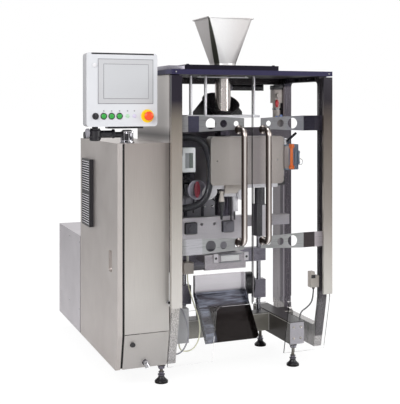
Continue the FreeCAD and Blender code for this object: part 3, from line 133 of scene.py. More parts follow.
def coordinate(tree, axis):
    """A point's own coordinate along an axis, in metres."""
    place = add_node(tree, "ShaderNodeTexCoord")
    parts = add_node(tree, "ShaderNodeSeparateXYZ", {"Vector": place.outputs["Object"]})
    return parts.outputs[axis]


def in_frame(axis, place):
    """A place along one of the machine's axes, in mm from its datum, in metres in the shared frame."""
    return (place - DATUM["XYZ".index(axis)]) * MM


def ramp(tree, value, stops, sharp=False):
    """A colour read off a scale. Each stop is a place from 0 to 1 and a colour."""
    reader = add_node(tree, "ShaderNodeValToRGB", {"Fac": value})
    scale = reader.color_ramp
    scale.interpolation = "CONSTANT" if sharp else "LINEAR"
    scale.elements[0].position, scale.elements[0].color = stops[0][0], linear(stops[0][1])
    scale.elements[1].position, scale.elements[1].color = stops[-1][0], linear(stops[-1][1])
    for place, colour in stops[1:-1]:
        scale.elements.new(place).color = linear(colour)
    return reader.outputs["Color"]


def graded(tree, axis, stops, sharp=False):
    """A colour that changes along one of the machine's axes, by stops such as "90 A9A5A6", in mm."""
    pairs = [stop.split() for stop in stops.split(",")]
    stops = [(float(place), colour) for place, colour in pairs]
    low, high = stops[0][0], stops[-1][0]
    ends = in_frame(axis, low), in_frame(axis, high)
    share = as_range(tree, coordinate(tree, axis), 0.0, 1.0, *ends)
    scale = [((place - low) / (high - low), colour) for place, colour in stops]
    return ramp(tree, share, scale, sharp)


def past(tree, axis, place, soft=1.0):
    """0 before a place along an axis, in mm, and 1 beyond it."""
    start = in_frame(axis, place)
    return as_range(tree, coordinate(tree, axis), 0.0, 1.0, start, start + soft * MM)


def near(tree, axis, place, reach):
    """1 within this reach of a place along an axis, in mm, and 0 elsewhere."""
    inputs = {0: coordinate(tree, axis), 1: in_frame(axis, place), 2: reach * MM}
    return add_node(tree, "ShaderNodeMath", inputs, operation="COMPARE").outputs[0]


def arithmetic(tree, operation, first, second=0.5):
    return add_node(tree, "ShaderNodeMath", {0: first, 1: second}, operation=operation).outputs[0]


def is_ray(tree, *kinds):
    """1 for a ray of either of two kinds, such as Camera and Transmission."""
    path = add_node(tree, "ShaderNodeLightPath")
    return arithmetic(tree, "MAXIMUM", *[path.outputs[f"Is {kind} Ray"] for kind in kinds])


def show_mix(tree, factor, shader, other):
    """Shows the shader where the factor is 0, and the other one where it is 1."""
    inputs = {0: factor, 1: shader.outputs["BSDF"], 2: other.outputs[0]}
    mixed = add_node(tree, "ShaderNodeMixShader", inputs)
    output = next(node for node in tree.nodes if node.type == "OUTPUT_MATERIAL")
    link(mixed.outputs[0], output, "Surface")


def shaded(tree, colour, shade):
    """A colour made lighter or darker by a factor."""
    settings = {"data_type": "RGBA", "blend_type": "MULTIPLY"}
    return add_node(tree, "ShaderNodeMix", {0: 1.0, 6: colour, 7: shade}, **settings).outputs[2]


def two_toned(name, light, dark, values, pattern, spread=None, relief=None):
    """A finish that one grain varies: its tone, its roughness over a spread, its relief."""
    made, tree, shader = new_material(name, light, values)
    noise = grain(tree, *pattern)
    link(blend(tree, as_range(tree, noise, 0, 1), dark, light), shader, "Base Color")
    if spread:
        link(as_range(tree, noise, *spread), shader, "Roughness")
    if relief:
        bump(tree, shader, noise, *relief)
    return made


def brushed_steel(name, light, dark, stretch, roughness, metallic=0.9):
    """Stainless sheet with a directional brushed finish: fine straight streaks, soft long reflections."""
    values = {"Metallic": metallic, "Roughness": roughness}
    made, tree, shader = new_material(name, light, values)
    # The real scratches are about 0.1 mm apart. They are drawn 1 to 2 mm apart, so that they show.
    streaks = grain(tree, stretch, 0.6, 4.0)
    cloud = grain(tree, EVEN, 0.006, 2.0)
    shade = as_range(tree, arithmetic(tree, "ADD", streaks, cloud), 0.0, 1.0, 0.75, 1.25)
    link(blend(tree, shade, dark, light), shader, "Base Color")
    link(as_range(tree, streaks, roughness - 0.05, roughness + 0.07), shader, "Roughness")
    bump(tree, shader, streaks, 0.05, 0.15)
    return made


def graded_steel(name, colour, stretch, roughness, metallic=0.6, streak=(0.90, 1.06), gloss=0.5):
    """Ground stainless. Its colour comes from a function; for a large sheet, that function paints in the
    reflections and shade that the sheet shows.
    """
    values = {"Metallic": metallic, "Roughness": roughness, "Specular IOR Level": gloss}
    made, tree, shader = new_material(name, "A0A0A0", values)
    streaks = grain(tree, stretch, 0.5, 4.0)
    toned = shaded(tree, colour(tree), as_range(tree, streaks, *streak))
    link(toned, shader, "Base Color")
    link(as_range(tree, streaks, roughness - 0.04, roughness + 0.05), shader, "Roughness")
    return made


def along(axis, stops):
    """A colour function that only follows one axis."""
    return lambda tree: graded(tree, axis, stops)


def frame_tones(tree):
    """A tall frame: a painted dark reflection on its head under the top plate, and painted shade on its
    front edge and window reveal.
    """
    tall = graded(
        tree, "Z",
        "90 A9A5A6, 340 B5B0AD, 900 9C9590, 1160 706A66, 1270 2E2A36, 1380 2A2733",
    )
    # Painted shade in the window reveal.
    reveal = blend(tree, near(tree, "Y", 342, 0.6), tall, "4C474E")
    # Painted shade on the right frame's front edge.
    shade = arithmetic(tree, "MULTIPLY", past(tree, "X", 900), past(tree, "Y", 29))
    right = arithmetic(tree, "SUBTRACT", past(tree, "X", 900), shade)
    return blend(tree, right, reveal, "4A454A")


def arm_tones(tree):
    """Door arms and hinge plates: bright plates, painted shade on the dark links and bent faces, and pale
    hinge leaves below.
    """
    upper = graded(
        tree, "X",
        "240 B4AFB2, 309 575366, 362 A7A3A7, 560 B3AFB2, 640 A5A1A6, 800 9E9BA3, 887 3B3644, "
        "944 4A4450, 1025 4A4450",
        sharp=True,
    )
    lower = graded(
        tree, "X",
        "240 D8D4D8, 300 E2DDE3, 376 D0CDCF, 640 CBC8CA, 887 5D5356, 944 D8CDD3, 1025 D8CDD3",
        sharp=True,
    )
    return blend(tree, past(tree, "Z", 900), lower, upper)


def rail_tones(tree):
    """Cross rails: lighter low down, and painted shade, nearly black, under the top plate."""
    return graded(
        tree, "Z",
        "640 96929A, 700 8E8A8C, 950 6A6468, 1010 6A6468, 1080 453F47, 1135 453F47, 1340 2A2428, "
        "1380 2A2428",
    )


def base_tones(tree):
    """Base beams: painted shade on the black upper faces and the dark side of the right beam, lighter
    fronts, and painted highlights along the cross beam's top and right edges.
    """
    beam = blend(tree, past(tree, "Y", 36), "A09BA3", "3F3B39")
    fronts = blend(tree, past(tree, "X", 852), "8C8880", beam)
    # Painted highlights: bright lines along the cross beam's top and right edges.
    edge = arithmetic(tree, "MAXIMUM", near(tree, "Z", 208.5, 1.6), near(tree, "X", 851, 2.5))
    edge_highlighted = blend(tree, edge, fronts, "C4C0BC")
    ready = blend(tree, past(tree, "Y", 36), fronts, edge_highlighted)
    return blend(tree, past(tree, "Z", 211.6, 0.5), ready, "2F2B2C")


def wall_tones(tree):
    """The plate behind the sealing units: in deep shade at its upper left."""
    upper = graded(tree, "X", "420 66636E, 500 7A7782, 530 6C6974, 556 A5A2AA, 707 A5A2AA")
    lower = graded(tree, "X", "420 85828B, 520 9D9AA3, 560 B0ADB5, 707 A8A5AE")
    return blend(tree, past(tree, "Z", 800, 40), lower, upper)


def column_tones(tree):
    """The columns' inner panels: painted shade on two folds at the window, then a pale panel, with painted
    shade darkening them towards the top.
    """
    panel = graded(
        tree, "Y",
        "342 8A858B, 349 625D65, 366 6E6971, 371 45414A, 376 928D93, 392 A7A2A5, 465 9A959A",
    )
    return shaded(tree, panel, graded(tree, "Z", "1080 FFFFFF, 1170 B0A7A4, 1340 8A8280"))


def sheet_tones(tree):
    """The sheet above the cabinet: a painted reflection of the cabinet's roof along its foot."""
    return graded(
        tree, "Z",
        "1076 A9A5A4, 1092 7B7877, 1106 5D5B5B, 1124 8E8A89, 1150 B9B5B3, 1378 BEB9B6",
    )


def motor_tones(tree):
    """Black motors and gearboxes, and the pale body of the upright servo drive."""
    servo = arithmetic(
        tree, "MULTIPLY", near(tree, "X", 758, 13), near(tree, "Z", 692, 74.5)
    )
    boxes = graded(
        tree, "X",
        "416 47454E, 610 7A7780, 668 7A7780, 669 2E2C31, 910 2E2C31",
        sharp=True,
    )
    return blend(tree, servo, boxes, "B5AEB4")


def housing_tones(tree):
    """The operator panel's housing: a pale front, and painted shade on its sides."""
    return blend(tree, past(tree, "Y", -3, 5), "CDCED2", "A3A3A7")


def plate_tones(tree):
    """The top plate: navy edges, painted shade that makes its underside black, and a grey upper face."""
    sides = blend(tree, past(tree, "Z", 1379.5), "1E1A1E", "3C3A55")
    return blend(tree, past(tree, "Z", 1399.2, 0.5), sides, "5C5A61")


def chute_tones(tree):
    """The polished slide: painted reflections of the machine above it in broken streaks, a painted
    reflection of the bright room on its roll, and painted shade, nearly black, in its lower part.
    """
    tall = graded(
        tree, "Z",
        "80 150F0E, 134 1A1413, 240 1F1817, 276 2B2527, 288 56545F, 324 6E6C7A, 338 4A4852, "
        "352 BDB9BF, 380 CFCBD0, 425 D6D2D7",
    )
    streak = as_range(tree, grain(tree, (0.07, 0.5, 1), 0.13, 4.0), 0.0, 1.0, 0.42, 0.62)
    broken = blend(tree, streak, "4C4952", "8F94A5")
    # Its lower right part has a painted reflection of the dark beams, and no streaks.
    left = arithmetic(tree, "SUBTRACT", 1.0, past(tree, "X", 500, 14))
    lively = arithmetic(tree, "MAXIMUM", left, past(tree, "Z", 282, 8))
    strength = as_range(tree, lively, 0.0, 0.85, 0.0, 1.0)
    part = arithmetic(tree, "MULTIPLY", near(tree, "Z", 236, 104), strength)
    return blend(tree, part, tall, broken)


def handle_tones(tree):
    """The chromed tubes: a painted reflection of the dark machine at their left and a painted highlight,
    one bright line of the room.
    """
    across = (
        (-14, "3C322E"), (-11.5, "433935"), (-8, "7C726E"), (-4.5, "FFF8F4"), (-2, "F4ECE8"),
        (1.2, "A0958F"), (7, "6B625E"), (14, "564E4A"),
    )
    stops = [f"{middle + place} {colour}" for middle in (552, 672) for place, colour in across]
    return graded(tree, "X", ",".join(stops))


def hopper_tones(tree):
    """Bright satin panels whose faces are painted lighter and darker by the way they turn, and painted
    shade on the folded corners, which widen from the mouth to the neck.
    """
    across = arithmetic(tree, "SUBTRACT", coordinate(tree, "X"), in_frame("X", 580))
    forward = arithmetic(tree, "SUBTRACT", in_frame("Y", 200), coordinate(tree, "Y"))
    turn = arithmetic(tree, "ARCTAN2", across, forward)
    face = ramp(tree, as_range(tree, turn, 0.0, 1.0, -math.pi, math.pi), (
        (0.0, "A09C9B"), (0.20, "BDB9B8"), (0.362, "B1ADAC"), (0.37, "F8F7F7"), (0.45, "F1F0F0"),
        (0.60, "DCD8D7"), (0.634, "D3CFCE"), (0.645, "9A9997"), (1.0, "A09C9B"),
    ))
    corner = arithmetic(tree, "ABSOLUTE", arithmetic(tree, "ADD", turn, math.radians(50)))
    width = as_range(tree, coordinate(tree, "Z"), 0.26, 0.035, 1.42, 1.655)
    inside = arithmetic(tree, "SUBTRACT", width, corner)
    fold_shade = as_range(tree, inside, 0.0, 1.0, 0.0, 0.03)
    far_corner = arithmetic(tree, "ABSOLUTE", arithmetic(tree, "SUBTRACT", turn, math.radians(57)))
    far_fold_shade = as_range(tree, arithmetic(tree, "SUBTRACT", width, far_corner), 0.0, 1.0, 0.0, 0.03)
    sided = blend(tree, far_fold_shade, face, "8C8A88")
    return blend(tree, fold_shade, sided, "33332D")


def polished_steel(name, light, dark, roughness):
    """Mirror polished steel: clear reflections, and a faint cloudiness left by the buffing wheel."""
    values = {"Metallic": 1.0, "Roughness": roughness}
    return two_toned(name, light, dark, values, (EVEN, 0.02), (roughness * 0.7, roughness * 1.4))


def milled_aluminium(name, light, dark):
    """Milled and anodised aluminium: pale, satin, with faint cutter lines."""
    values = {"Metallic": 0.8, "Roughness": 0.35}
    return two_toned(name, light, dark, values, ((0.15, 1, 1), 0.5), (0.29, 0.43))


def plastic(name, light, dark, roughness):
    """Moulded plastic: even colour, a fine spark eroded grain and soft highlights."""
    values = {"Roughness": roughness, "IOR": 1.5}
    return two_toned(name, light, dark, values, (EVEN, 1.25, 2.0), relief=(0.08, 0.2))


def powder_coat(name, light, dark, roughness, gloss=0.5):
    """Enamel baked on sheet metal: a slight orange peel under an even gloss."""
    values = {"Roughness": roughness, "Specular IOR Level": gloss}
    return two_toned(name, light, dark, values, (EVEN, 0.35, 2.0), relief=(0.1, 0.15))


def clear_sheet(name, tint):
    """Clear polycarbonate: its upright face shows nothing, its leaning foot mirrors the bright room."""
    values = {"Roughness": 0.02, "Transmission Weight": 1.0}
    made, tree, shader = new_material(name, tint, values)
    index = as_range(tree, coordinate(tree, "Z"), 1.42, 1.07, 0.31, 0.36)
    link(index, shader, "IOR")
    through = add_node(tree, "ShaderNodeBsdfTransparent", {"Color": linear("F4F7F6")})
    show_mix(tree, is_ray(tree, "Shadow", "Diffuse"), shader, through)
    return made


FINISH = {
    "cabinet": brushed_steel("brushed_stainless_side", "C7C1BE", "BCB5B2", UPRIGHT, 0.42),
    # Painted shade: the face is darker towards the top, and a little darker towards the floor.
    "cabinet_face": graded_steel("brushed_stainless_face", along(
        "Z",
        "90 B6B2B0, 400 BFBBB7, 800 ADA7A2, 1080 9C9490",
    ), UPRIGHT, 0.40, streak=(0.95, 1.03)),
    "reel": brushed_steel("brushed_stainless_reel", "CFCBCF", "C3BFC3", UPRIGHT, 0.45),
    "frame": graded_steel("ground_stainless_frame", frame_tones, UPRIGHT, 0.26),
    # Painted reflection: both stiles darken towards the top, and the right stile is painted darker than the
    # left as shade.
    "left_stile": graded_steel("ground_stainless_left_stile", along(
        "Z",
        "350 CDC9C5, 700 BDB8B1, 1050 A1988F, 1180 7F776E, 1262 2A2530, 1380 241F2B",
    ), UPRIGHT, 0.22, streak=(0.95, 1.04)),
    "right_stile": graded_steel("ground_stainless_right_stile", along(
        "Z",
        "350 C2BFBA, 700 A19A94, 1000 7C736C, 1180 4E4641, 1265 1E1920, 1380 26232A",
    ), UPRIGHT, 0.22, streak=(0.95, 1.04)),
    "base": graded_steel("ground_stainless_base", base_tones, ACROSS, 0.34, 0.45),
    "top": graded_steel("dark_mirror_stainless", plate_tones, ACROSS, 0.45, 0.0, gloss=0.12),
    "band": powder_coat("navy_enamel", "34314C", "2A2740", 0.4, 0.12),
    "box": powder_coat("navy_black_enamel", "1A1626", "120F1B", 0.4, 0.12),
    "duct": brushed_steel("brushed_stainless_duct", "9F9CA6", "85828C", ACROSS, 0.35),
    "arm": graded_steel("brushed_stainless_arm", arm_tones, ACROSS, 0.3, 0.5),
    # Painted highlights: upright bands, lighter and darker, across the cover.
    "cover": graded_steel("brushed_stainless_cover", along(
        "X",
        "457 8E8784, 560 978F8C, 620 928A88, 652 7E7776, 700 787071, 745 918987, 775 948B88, "
        "830 8E8683",
    ), UPRIGHT, 0.4, 0.4, streak=(0.97, 1.03)),
    "hopper": graded_steel("satin_stainless_hopper", hopper_tones, UPRIGHT, 0.32, 0.25, (0.97, 1.02)),
    # Painted light and shade: the tube is dark below 1190 mm and light above it.
    "tube": graded_steel("polished_stainless_tube", along(
        "Z",
        "716 4A4650, 1170 3E3A44, 1190 3E3A44, 1200 B4ADAA, 1425 BDB6B3",
    ), UPRIGHT, 0.16, 0.9, streak=(0.92, 1.04)),
    "chute": graded_steel("polished_stainless_chute", chute_tones, ACROSS, 0.16, 0.6),
    "chrome": polished_steel("bright_chrome", "CBC6BE", "A19C94", 0.08),
    "handle": graded_steel("polished_tube_chrome", handle_tones, UPRIGHT, 0.16, 0.7, (0.97, 1.02)),
    "small_chrome": polished_steel("chrome_fitting", "C9C8CA", "96959A", 0.1),
    "rod": polished_steel("hard_chrome_rod", "9A999F", "7D7C83", 0.18),
    "white_metal": powder_coat("white_enamel", "DCD9DB", "CFCBCE", 0.4),
    "carriage": brushed_steel("blasted_aluminium_plate", "C6C1C6", "B4AFB5", ACROSS, 0.4, 0.4),
    "column": graded_steel("ground_stainless_column", column_tones, UPRIGHT, 0.3),
    "rail": graded_steel("painted_cross_rail", rail_tones, ACROSS, 0.4, 0.3),
    "wall": graded_steel("grey_mounting_plate", wall_tones, EVEN, 0.45, 0.2),
    "side_sheet": graded_steel("brushed_stainless_sheet", sheet_tones, UPRIGHT, 0.35, streak=(0.95, 1.03)),
    "shoulder": powder_coat("black_hard_chrome", "2E2A2D", "1D1A1D", 0.28),
    "black_enamel": powder_coat("black_enamel", "1D1B20", "141318", 0.3),
    "black_plastic": plastic("black_nylon", "2B2A2E", "1E1D20", 0.45),
    "motor": graded_steel("black_and_pale_motor_paint", motor_tones, EVEN, 0.45, 0.0),
    "slat": plastic("grey_nylon_slat", "F0EEF2", "DCDADF", 0.45),
    "black_rubber": plastic("black_rubber", "2B2A32", "1C1B21", 0.5),
    "grey_plastic": plastic("grey_moulded_abs", "8D8B92", "7D7B82", 0.45),
    "junction": plastic("grey_junction_abs", "A9A6AB", "989599", 0.45),
    "beige": plastic("warm_grey_manifold", "C2B8B3", "AEA39E", 0.45),
    "coder": graded_steel("blue_grey_cast_case", along(
        "Z",
        "936 667080, 1058 667080, 1076 2A2A30, 1100 1B1A1F",
    ), EVEN, 0.45, 0.0, gloss=0.3),
    "coder_side": plastic("brown_grey_cast_case", "8B7F7E", "746867", 0.4),
    "pale_plastic": plastic("pale_grey_abs", "DEDDE0", "CECDD0", 0.4),
    "display": plastic("grey_green_display", "5F6663", "505754", 0.2),
    "hose": plastic("clear_white_polyurethane", "EDEBE6", "DDDAD2", 0.35),
    "pale_hose": plastic("cream_polyurethane", "E9E6CF", "DAD6B8", 0.35),
    "grey_hose": plastic("grey_polyurethane", "8A8790", "77747D", 0.35),
    "housing": graded_steel("pale_grey_enamel", housing_tones, EVEN, 0.4, 0.0, streak=(0.985, 1.01)),
    "bezel": plastic("grey_bezel_abs", "BDBDC0", "B3B3B6", 0.4),
    "outline": plastic("grey_rubber_gasket", "8B8B90", "7B7B80", 0.6),
    "screen": plastic("matt_screen_glass", "BDBEC1", "B6B7BA", 0.35),
    "red": plastic("signal_red_abs", "F2501C", "E04616", 0.35),
    "crimson": plastic("crimson_abs", "B8485A", "9E3547", 0.35),
    "deep_red": plastic("deep_red_abs", "C0202A", "A81820", 0.35),
    "yellow": plastic("signal_yellow_abs", "F6D10C", "E7C008", 0.4),
    "green": plastic("green_lens", "3FAE4C", "22802F", 0.25),
    "pale_green": plastic("pale_green_lens", "B9D6BC", "A7C8AB", 0.3),
    "lilac": plastic("lilac_lens", "CFC8DC", "C0B8D0", 0.3),
    "blue": plastic("blue_push_fitting", "6C83B8", "566CA2", 0.35),
    "orange": powder_coat("orange_enamel", "E2702A", "CE5E1C", 0.4),
    "aluminium": milled_aluminium("milled_aluminium", "C6C4C8", "ACAAAF"),
    "jaw": milled_aluminium("milled_jaw_steel", "A29DA2", "8C878C"),
    "dark_alloy": milled_aluminium("dark_anodised_aluminium", "7B7882", "63606A"),
    "clear": clear_sheet("clear_polycarbonate", "FFFFFF"),
    "wall_part": plastic("dark_grey_duct", "4B4952", "3D3B43", 0.45),
    "foot": graded_steel("black_rubber_and_zinc", along(
        "Z",
        "0 141210, 20 24201E, 24 5A5550, 90 6B6762",
    ), UPRIGHT, 0.3),
    "gasket": plastic("black_foam_rubber", "141315", "0D0C0E", 0.8),
}

NODE_FINISH = {
    "cabinet": "cabinet_housing cabinet_side_panel",
    "cabinet_face": "cabinet_front_panel cabinet_kick_panel",
    "reel": "reel_housing reel_housing_cover",
    "black_enamel": "side_vent_cover film_guide_roller drum_motor panel_arm",
    "black_plastic": "panel_buttons",
    "motor": "drive_motors",
    "dark_alloy": "reel_shaft jaw_crosshead",
    "aluminium": "shoulder_hanger sealing_yoke",
    "jaw": "front_jaw",
    "rail": "cross_rails",
    "wall": "mounting_wall",
    "carriage": "jaw_carriage_plate",
    "frame": "left_side_frame right_side_frame",
    "top": "top_plate",
    "band": "top_front_band",
    "box": "top_cover_box",
    "cover": "seal_unit_cover",
    "base": "base_frame",
    "left_stile": "left_door_stile",
    "right_stile": "right_door_stile",
    "arm": "left_door_arms right_door_arms door_hinge_brackets",
    "side_sheet": "left_side_sheet",
    "column": "column_panels",
    "shoulder": "forming_shoulder",
    "foot": "levelling_feet",
    "hopper": "hopper",
    "tube": "forming_tube",
    "chute": "discharge_chute",
    "small_chrome": "panel_bracket",
    "pale_plastic": "temperature_controller",
    "beige": "hose_manifold door_switch air_service_unit",
    "junction": "junction_box",
    "housing": "panel_housing",
    "black_rubber": "conduit_loop door_switch_cable",
    "rod": "jaw_guide_rods",
    "handle": "left_door_handle right_door_handle",
    "coder": "coder_unit",
    "grey_hose": "grey_hose",
    "hose": "jaw_hose_front jaw_hose_rear",
    "pale_hose": "pale_hose",
    "bezel": "panel_screen",
    "red": "emergency_stop",
    "clear": "left_door_glass right_door_glass",
}


def dress(piece, finish):
    """Gives a piece or a carried-over solid its finish."""
    piece.data.materials.clear()
    piece.data.materials.append(FINISH[finish])


for finish, names in NODE_FINISH.items():
    for name in names.split():
        dress(nodes[name], finish)


def deselect():
    """Leaves nothing selected."""
    bpy.ops.object.select_all(action="DESELECT")


def only(piece):
    """Leaves just this piece selected and active."""
    deselect()
    piece.select_set(True)
    bpy.context.view_layer.objects.active = piece


def settle(piece):
    """Puts a piece's place, turn and size into its mesh."""
    only(piece)
    bpy.ops.object.transform_apply(location=True, rotation=True, scale=True)
    return piece


def apply_modifiers(piece):
    """Puts a piece's modifiers into its mesh, in their order."""
    only(piece)
    for modifier in list(piece.modifiers):
        bpy.ops.object.modifier_apply(modifier=modifier.name)
    return piece


# An edge that turns by more than this is a real edge.
SHARP = math.radians(35)


def soften(piece, edge):
    """Rounds the sharp edges by this many mm and shades the rest smooth."""
    rounding = piece.modifiers.new("edges", "BEVEL")
    rounding.width = edge * MM
    rounding.segments = 2
    rounding.limit_method = "ANGLE"
    rounding.angle_limit = SHARP
    apply_modifiers(piece)
    bpy.ops.object.shade_smooth_by_angle(angle=SHARP)
    return piece


def block(name, low, high, edge=0.8):
    """A rectangular piece between two corners, in mm, with eased edges."""
    deselect()
    first, last = at(*low), at(*high)
    bpy.ops.mesh.primitive_cube_add(size=1, location=(first + last) / 2, scale=last - first)
    piece = bpy.context.object
    piece.name = name
    settle(piece)
    return soften(piece, edge) if edge else piece


def turned(name, base, direction, start, steps, sides=40, edge=0.0):
    """A turned piece: a disc drawn out step by step, each step a new radius and an advance, in mm."""
    deselect()
    bpy.ops.mesh.primitive_circle_add(vertices=sides, radius=start * MM, fill_type="NGON")
    piece = bpy.context.object
    piece.name = name
    bpy.ops.object.mode_set(mode="EDIT")
    bpy.ops.mesh.select_all(action="SELECT")
    height, radius = 0.0, start
    for new_radius, advance in steps:
        bpy.ops.mesh.extrude_region_move(TRANSFORM_OT_translate={"value": (0, 0, advance * MM)})
        height += advance * MM
        if new_radius != radius:
            grow = new_radius / radius
            bpy.ops.transform.resize(value=(grow, grow, 1), center_override=(0, 0, height))
        radius = new_radius
    bpy.ops.mesh.select_all(action="SELECT")
    bpy.ops.mesh.normals_make_consistent(inside=False)
    bpy.ops.object.mode_set(mode="OBJECT")
    piece.rotation_euler = Vector(direction).to_track_quat("Z", "Y").to_euler()
    piece.location = at(*base)
    settle(piece)
    if edge:
        return soften(piece, edge)
    bpy.ops.object.shade_smooth_by_angle(angle=math.radians(32))
    return piece


def copy_to(piece, name, *shifts):
    """Copies of a piece, each with its own mesh, joined with it into one."""
    rest = []
    for shift in shifts:
        twin = piece.copy()
        twin.data = piece.data.copy()
        twin.data.transform(Matrix.Translation(Vector(shift) * MM))
        bpy.context.scene.collection.objects.link(twin)
        rest.append(twin)
    return joined(name, piece, *rest)


def joined(name, first, *others):
    """Joins pieces into the first one, under a new name."""
    only(first)
    for other in others:
        other.select_set(True)
    if others:
        bpy.ops.object.join()
    first.name = name
    return first


def bent_rod(name, points, radius):
    """A round bar or tube that follows a smooth line through these points, in mm."""
    line = bpy.data.curves.new(name, "CURVE")
    line.dimensions = "3D"
    line.bevel_depth = radius * MM
    line.bevel_resolution = 6
    line.use_fill_caps = True
    run = line.splines.new("NURBS")
    run.points.add(len(points) - 1)
    for knot, point in zip(run.points, points):
        knot.co = (*at(*point), 1)
    run.order_u = 3
    run.use_endpoint_u = True
    run.resolution_u = 8
    piece = bpy.data.objects.new(name, line)
    bpy.context.scene.collection.objects.link(piece)
    return piece


def solid(piece):
    """Turns a bar's curve into its mesh."""
    only(piece)
    bpy.ops.object.convert(target="MESH")
    bpy.ops.object.shade_smooth_by_angle(angle=math.radians(40))
    return piece


def fit(piece, finish, slot, body="machine", *stands_for):
    """Gives a finished piece its finish and the body that carries it. The record's slot is not used."""
    dress(piece, finish)
    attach(piece, body)
    if stands_for:
        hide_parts(*stands_for)
    return piece


def screw_head(name, place, direction, radius=4.0):
    """A domed socket head screw: flange, dome and the socket sunk in it."""
    shares = ((1, 0.25), (0.8, 0.35), (0.42, 0.0), (0.36, -0.3))
    steps = [(radius * across, radius * advance) for across, advance in shares]
    return turned(name, place, direction, radius, steps, sides=20)


# A finish and its slot, where many pieces have the two.
CHROME = ("small_chrome", "bright_chrome")
DARK = ("black_enamel", "dark_enamel")
BLACK = ("black_plastic", "black_plastic")
# A slot and its body.
PANEL = ("grey_plastic", "control_panel")


def vent_mesh():
    """Pale louvre slats in the two fields of the black vent cover, with dark bars between them."""
    slat = block("slat", (-19.6, 424, 671), (-14, 555, 674.6), 0.5)
    places = [(0, 0, field + 11.3 * step) for field in (0, 161.5) for step in range(13)]
    fit(copy_to(slat, "vent_slats", *places[1:]), "slat", "black_plastic")
    bar = block("bar", (-19.9, 440, 669), (-7.5, 444, 974), 0.6)
    fit(copy_to(bar, "vent_bars", *[(0, 19 * step, 0) for step in range(1, 6)]), *BLACK)


def cabinet_fittings():
    """The rubber seal, lock knob, drain elbow, side stud and screws of the cabinet and reel housing."""
    fit(block("cabinet_seal", (22.6, 3, 246), (31.4, 11.5, 1073), 1.0), "gasket", "black_rubber")
    kick = block("kick_seal", (22.6, 3, 92), (31.4, 11.5, 244), 1.0)
    lean_back(kick, 243, 34, 157)
    fit(kick, "gasket", "black_rubber")
    knob = turned(
        "lock_knob", (71, 14, 199), FRONT, 13,
        [(13, 4), (11, 1), (9.5, 2), (9.5, 9), (8.5, 1.5), (3, 0)],
    )
    fit(knob, *BLACK)
    collar = turned(
        "elbow_collar", (133, 29, 110), FRONT, 13,
        [(13, 4), (8, 0), (8, 10), (11, 0), (11, 8)], sides=24,
    )
    spout = turned(
        "spout", (133, 11, 111), (0.35, -0.3, -1), 9,
        [(9, 10), (11.5, 0), (11.5, 10), (7, 0), (7, -5)], sides=24,
    )
    fit(joined("drain_elbow", collar, spout), *CHROME)
    stud = turned(
        "side_stud", (231, 0, 372), FRONT, 7,
        [(7, 3), (4.5, 0), (4.5, 6), (6.5, 0), (6.5, 4), (5.5, 1)], sides=24,
    )
    fit(stud, *CHROME)
    heads = screw_head("head", (0, 700, 204), LEFT, 3.6)
    spots = [(0, 0, 340), (0, 220, 0), (0, 220, 340), (0, 440, 0), (0, 440, 340)]
    fit(copy_to(heads, "reel_cover_screws", *spots), *CHROME)
    fit(block("kick_seam", (33, -0.6, 243.4), (100, 0.2, 245.6), 0.0), "gasket", "black_rubber")


def lean_back(piece, top, lean, fall):
    """Leans the part of a piece that is below a height backwards, as the kick panel leans."""
    for vertex in piece.data.vertices:
        drop = top * MM - vertex.co.z
        vertex.co.y += max(0.0, drop) * lean / fall


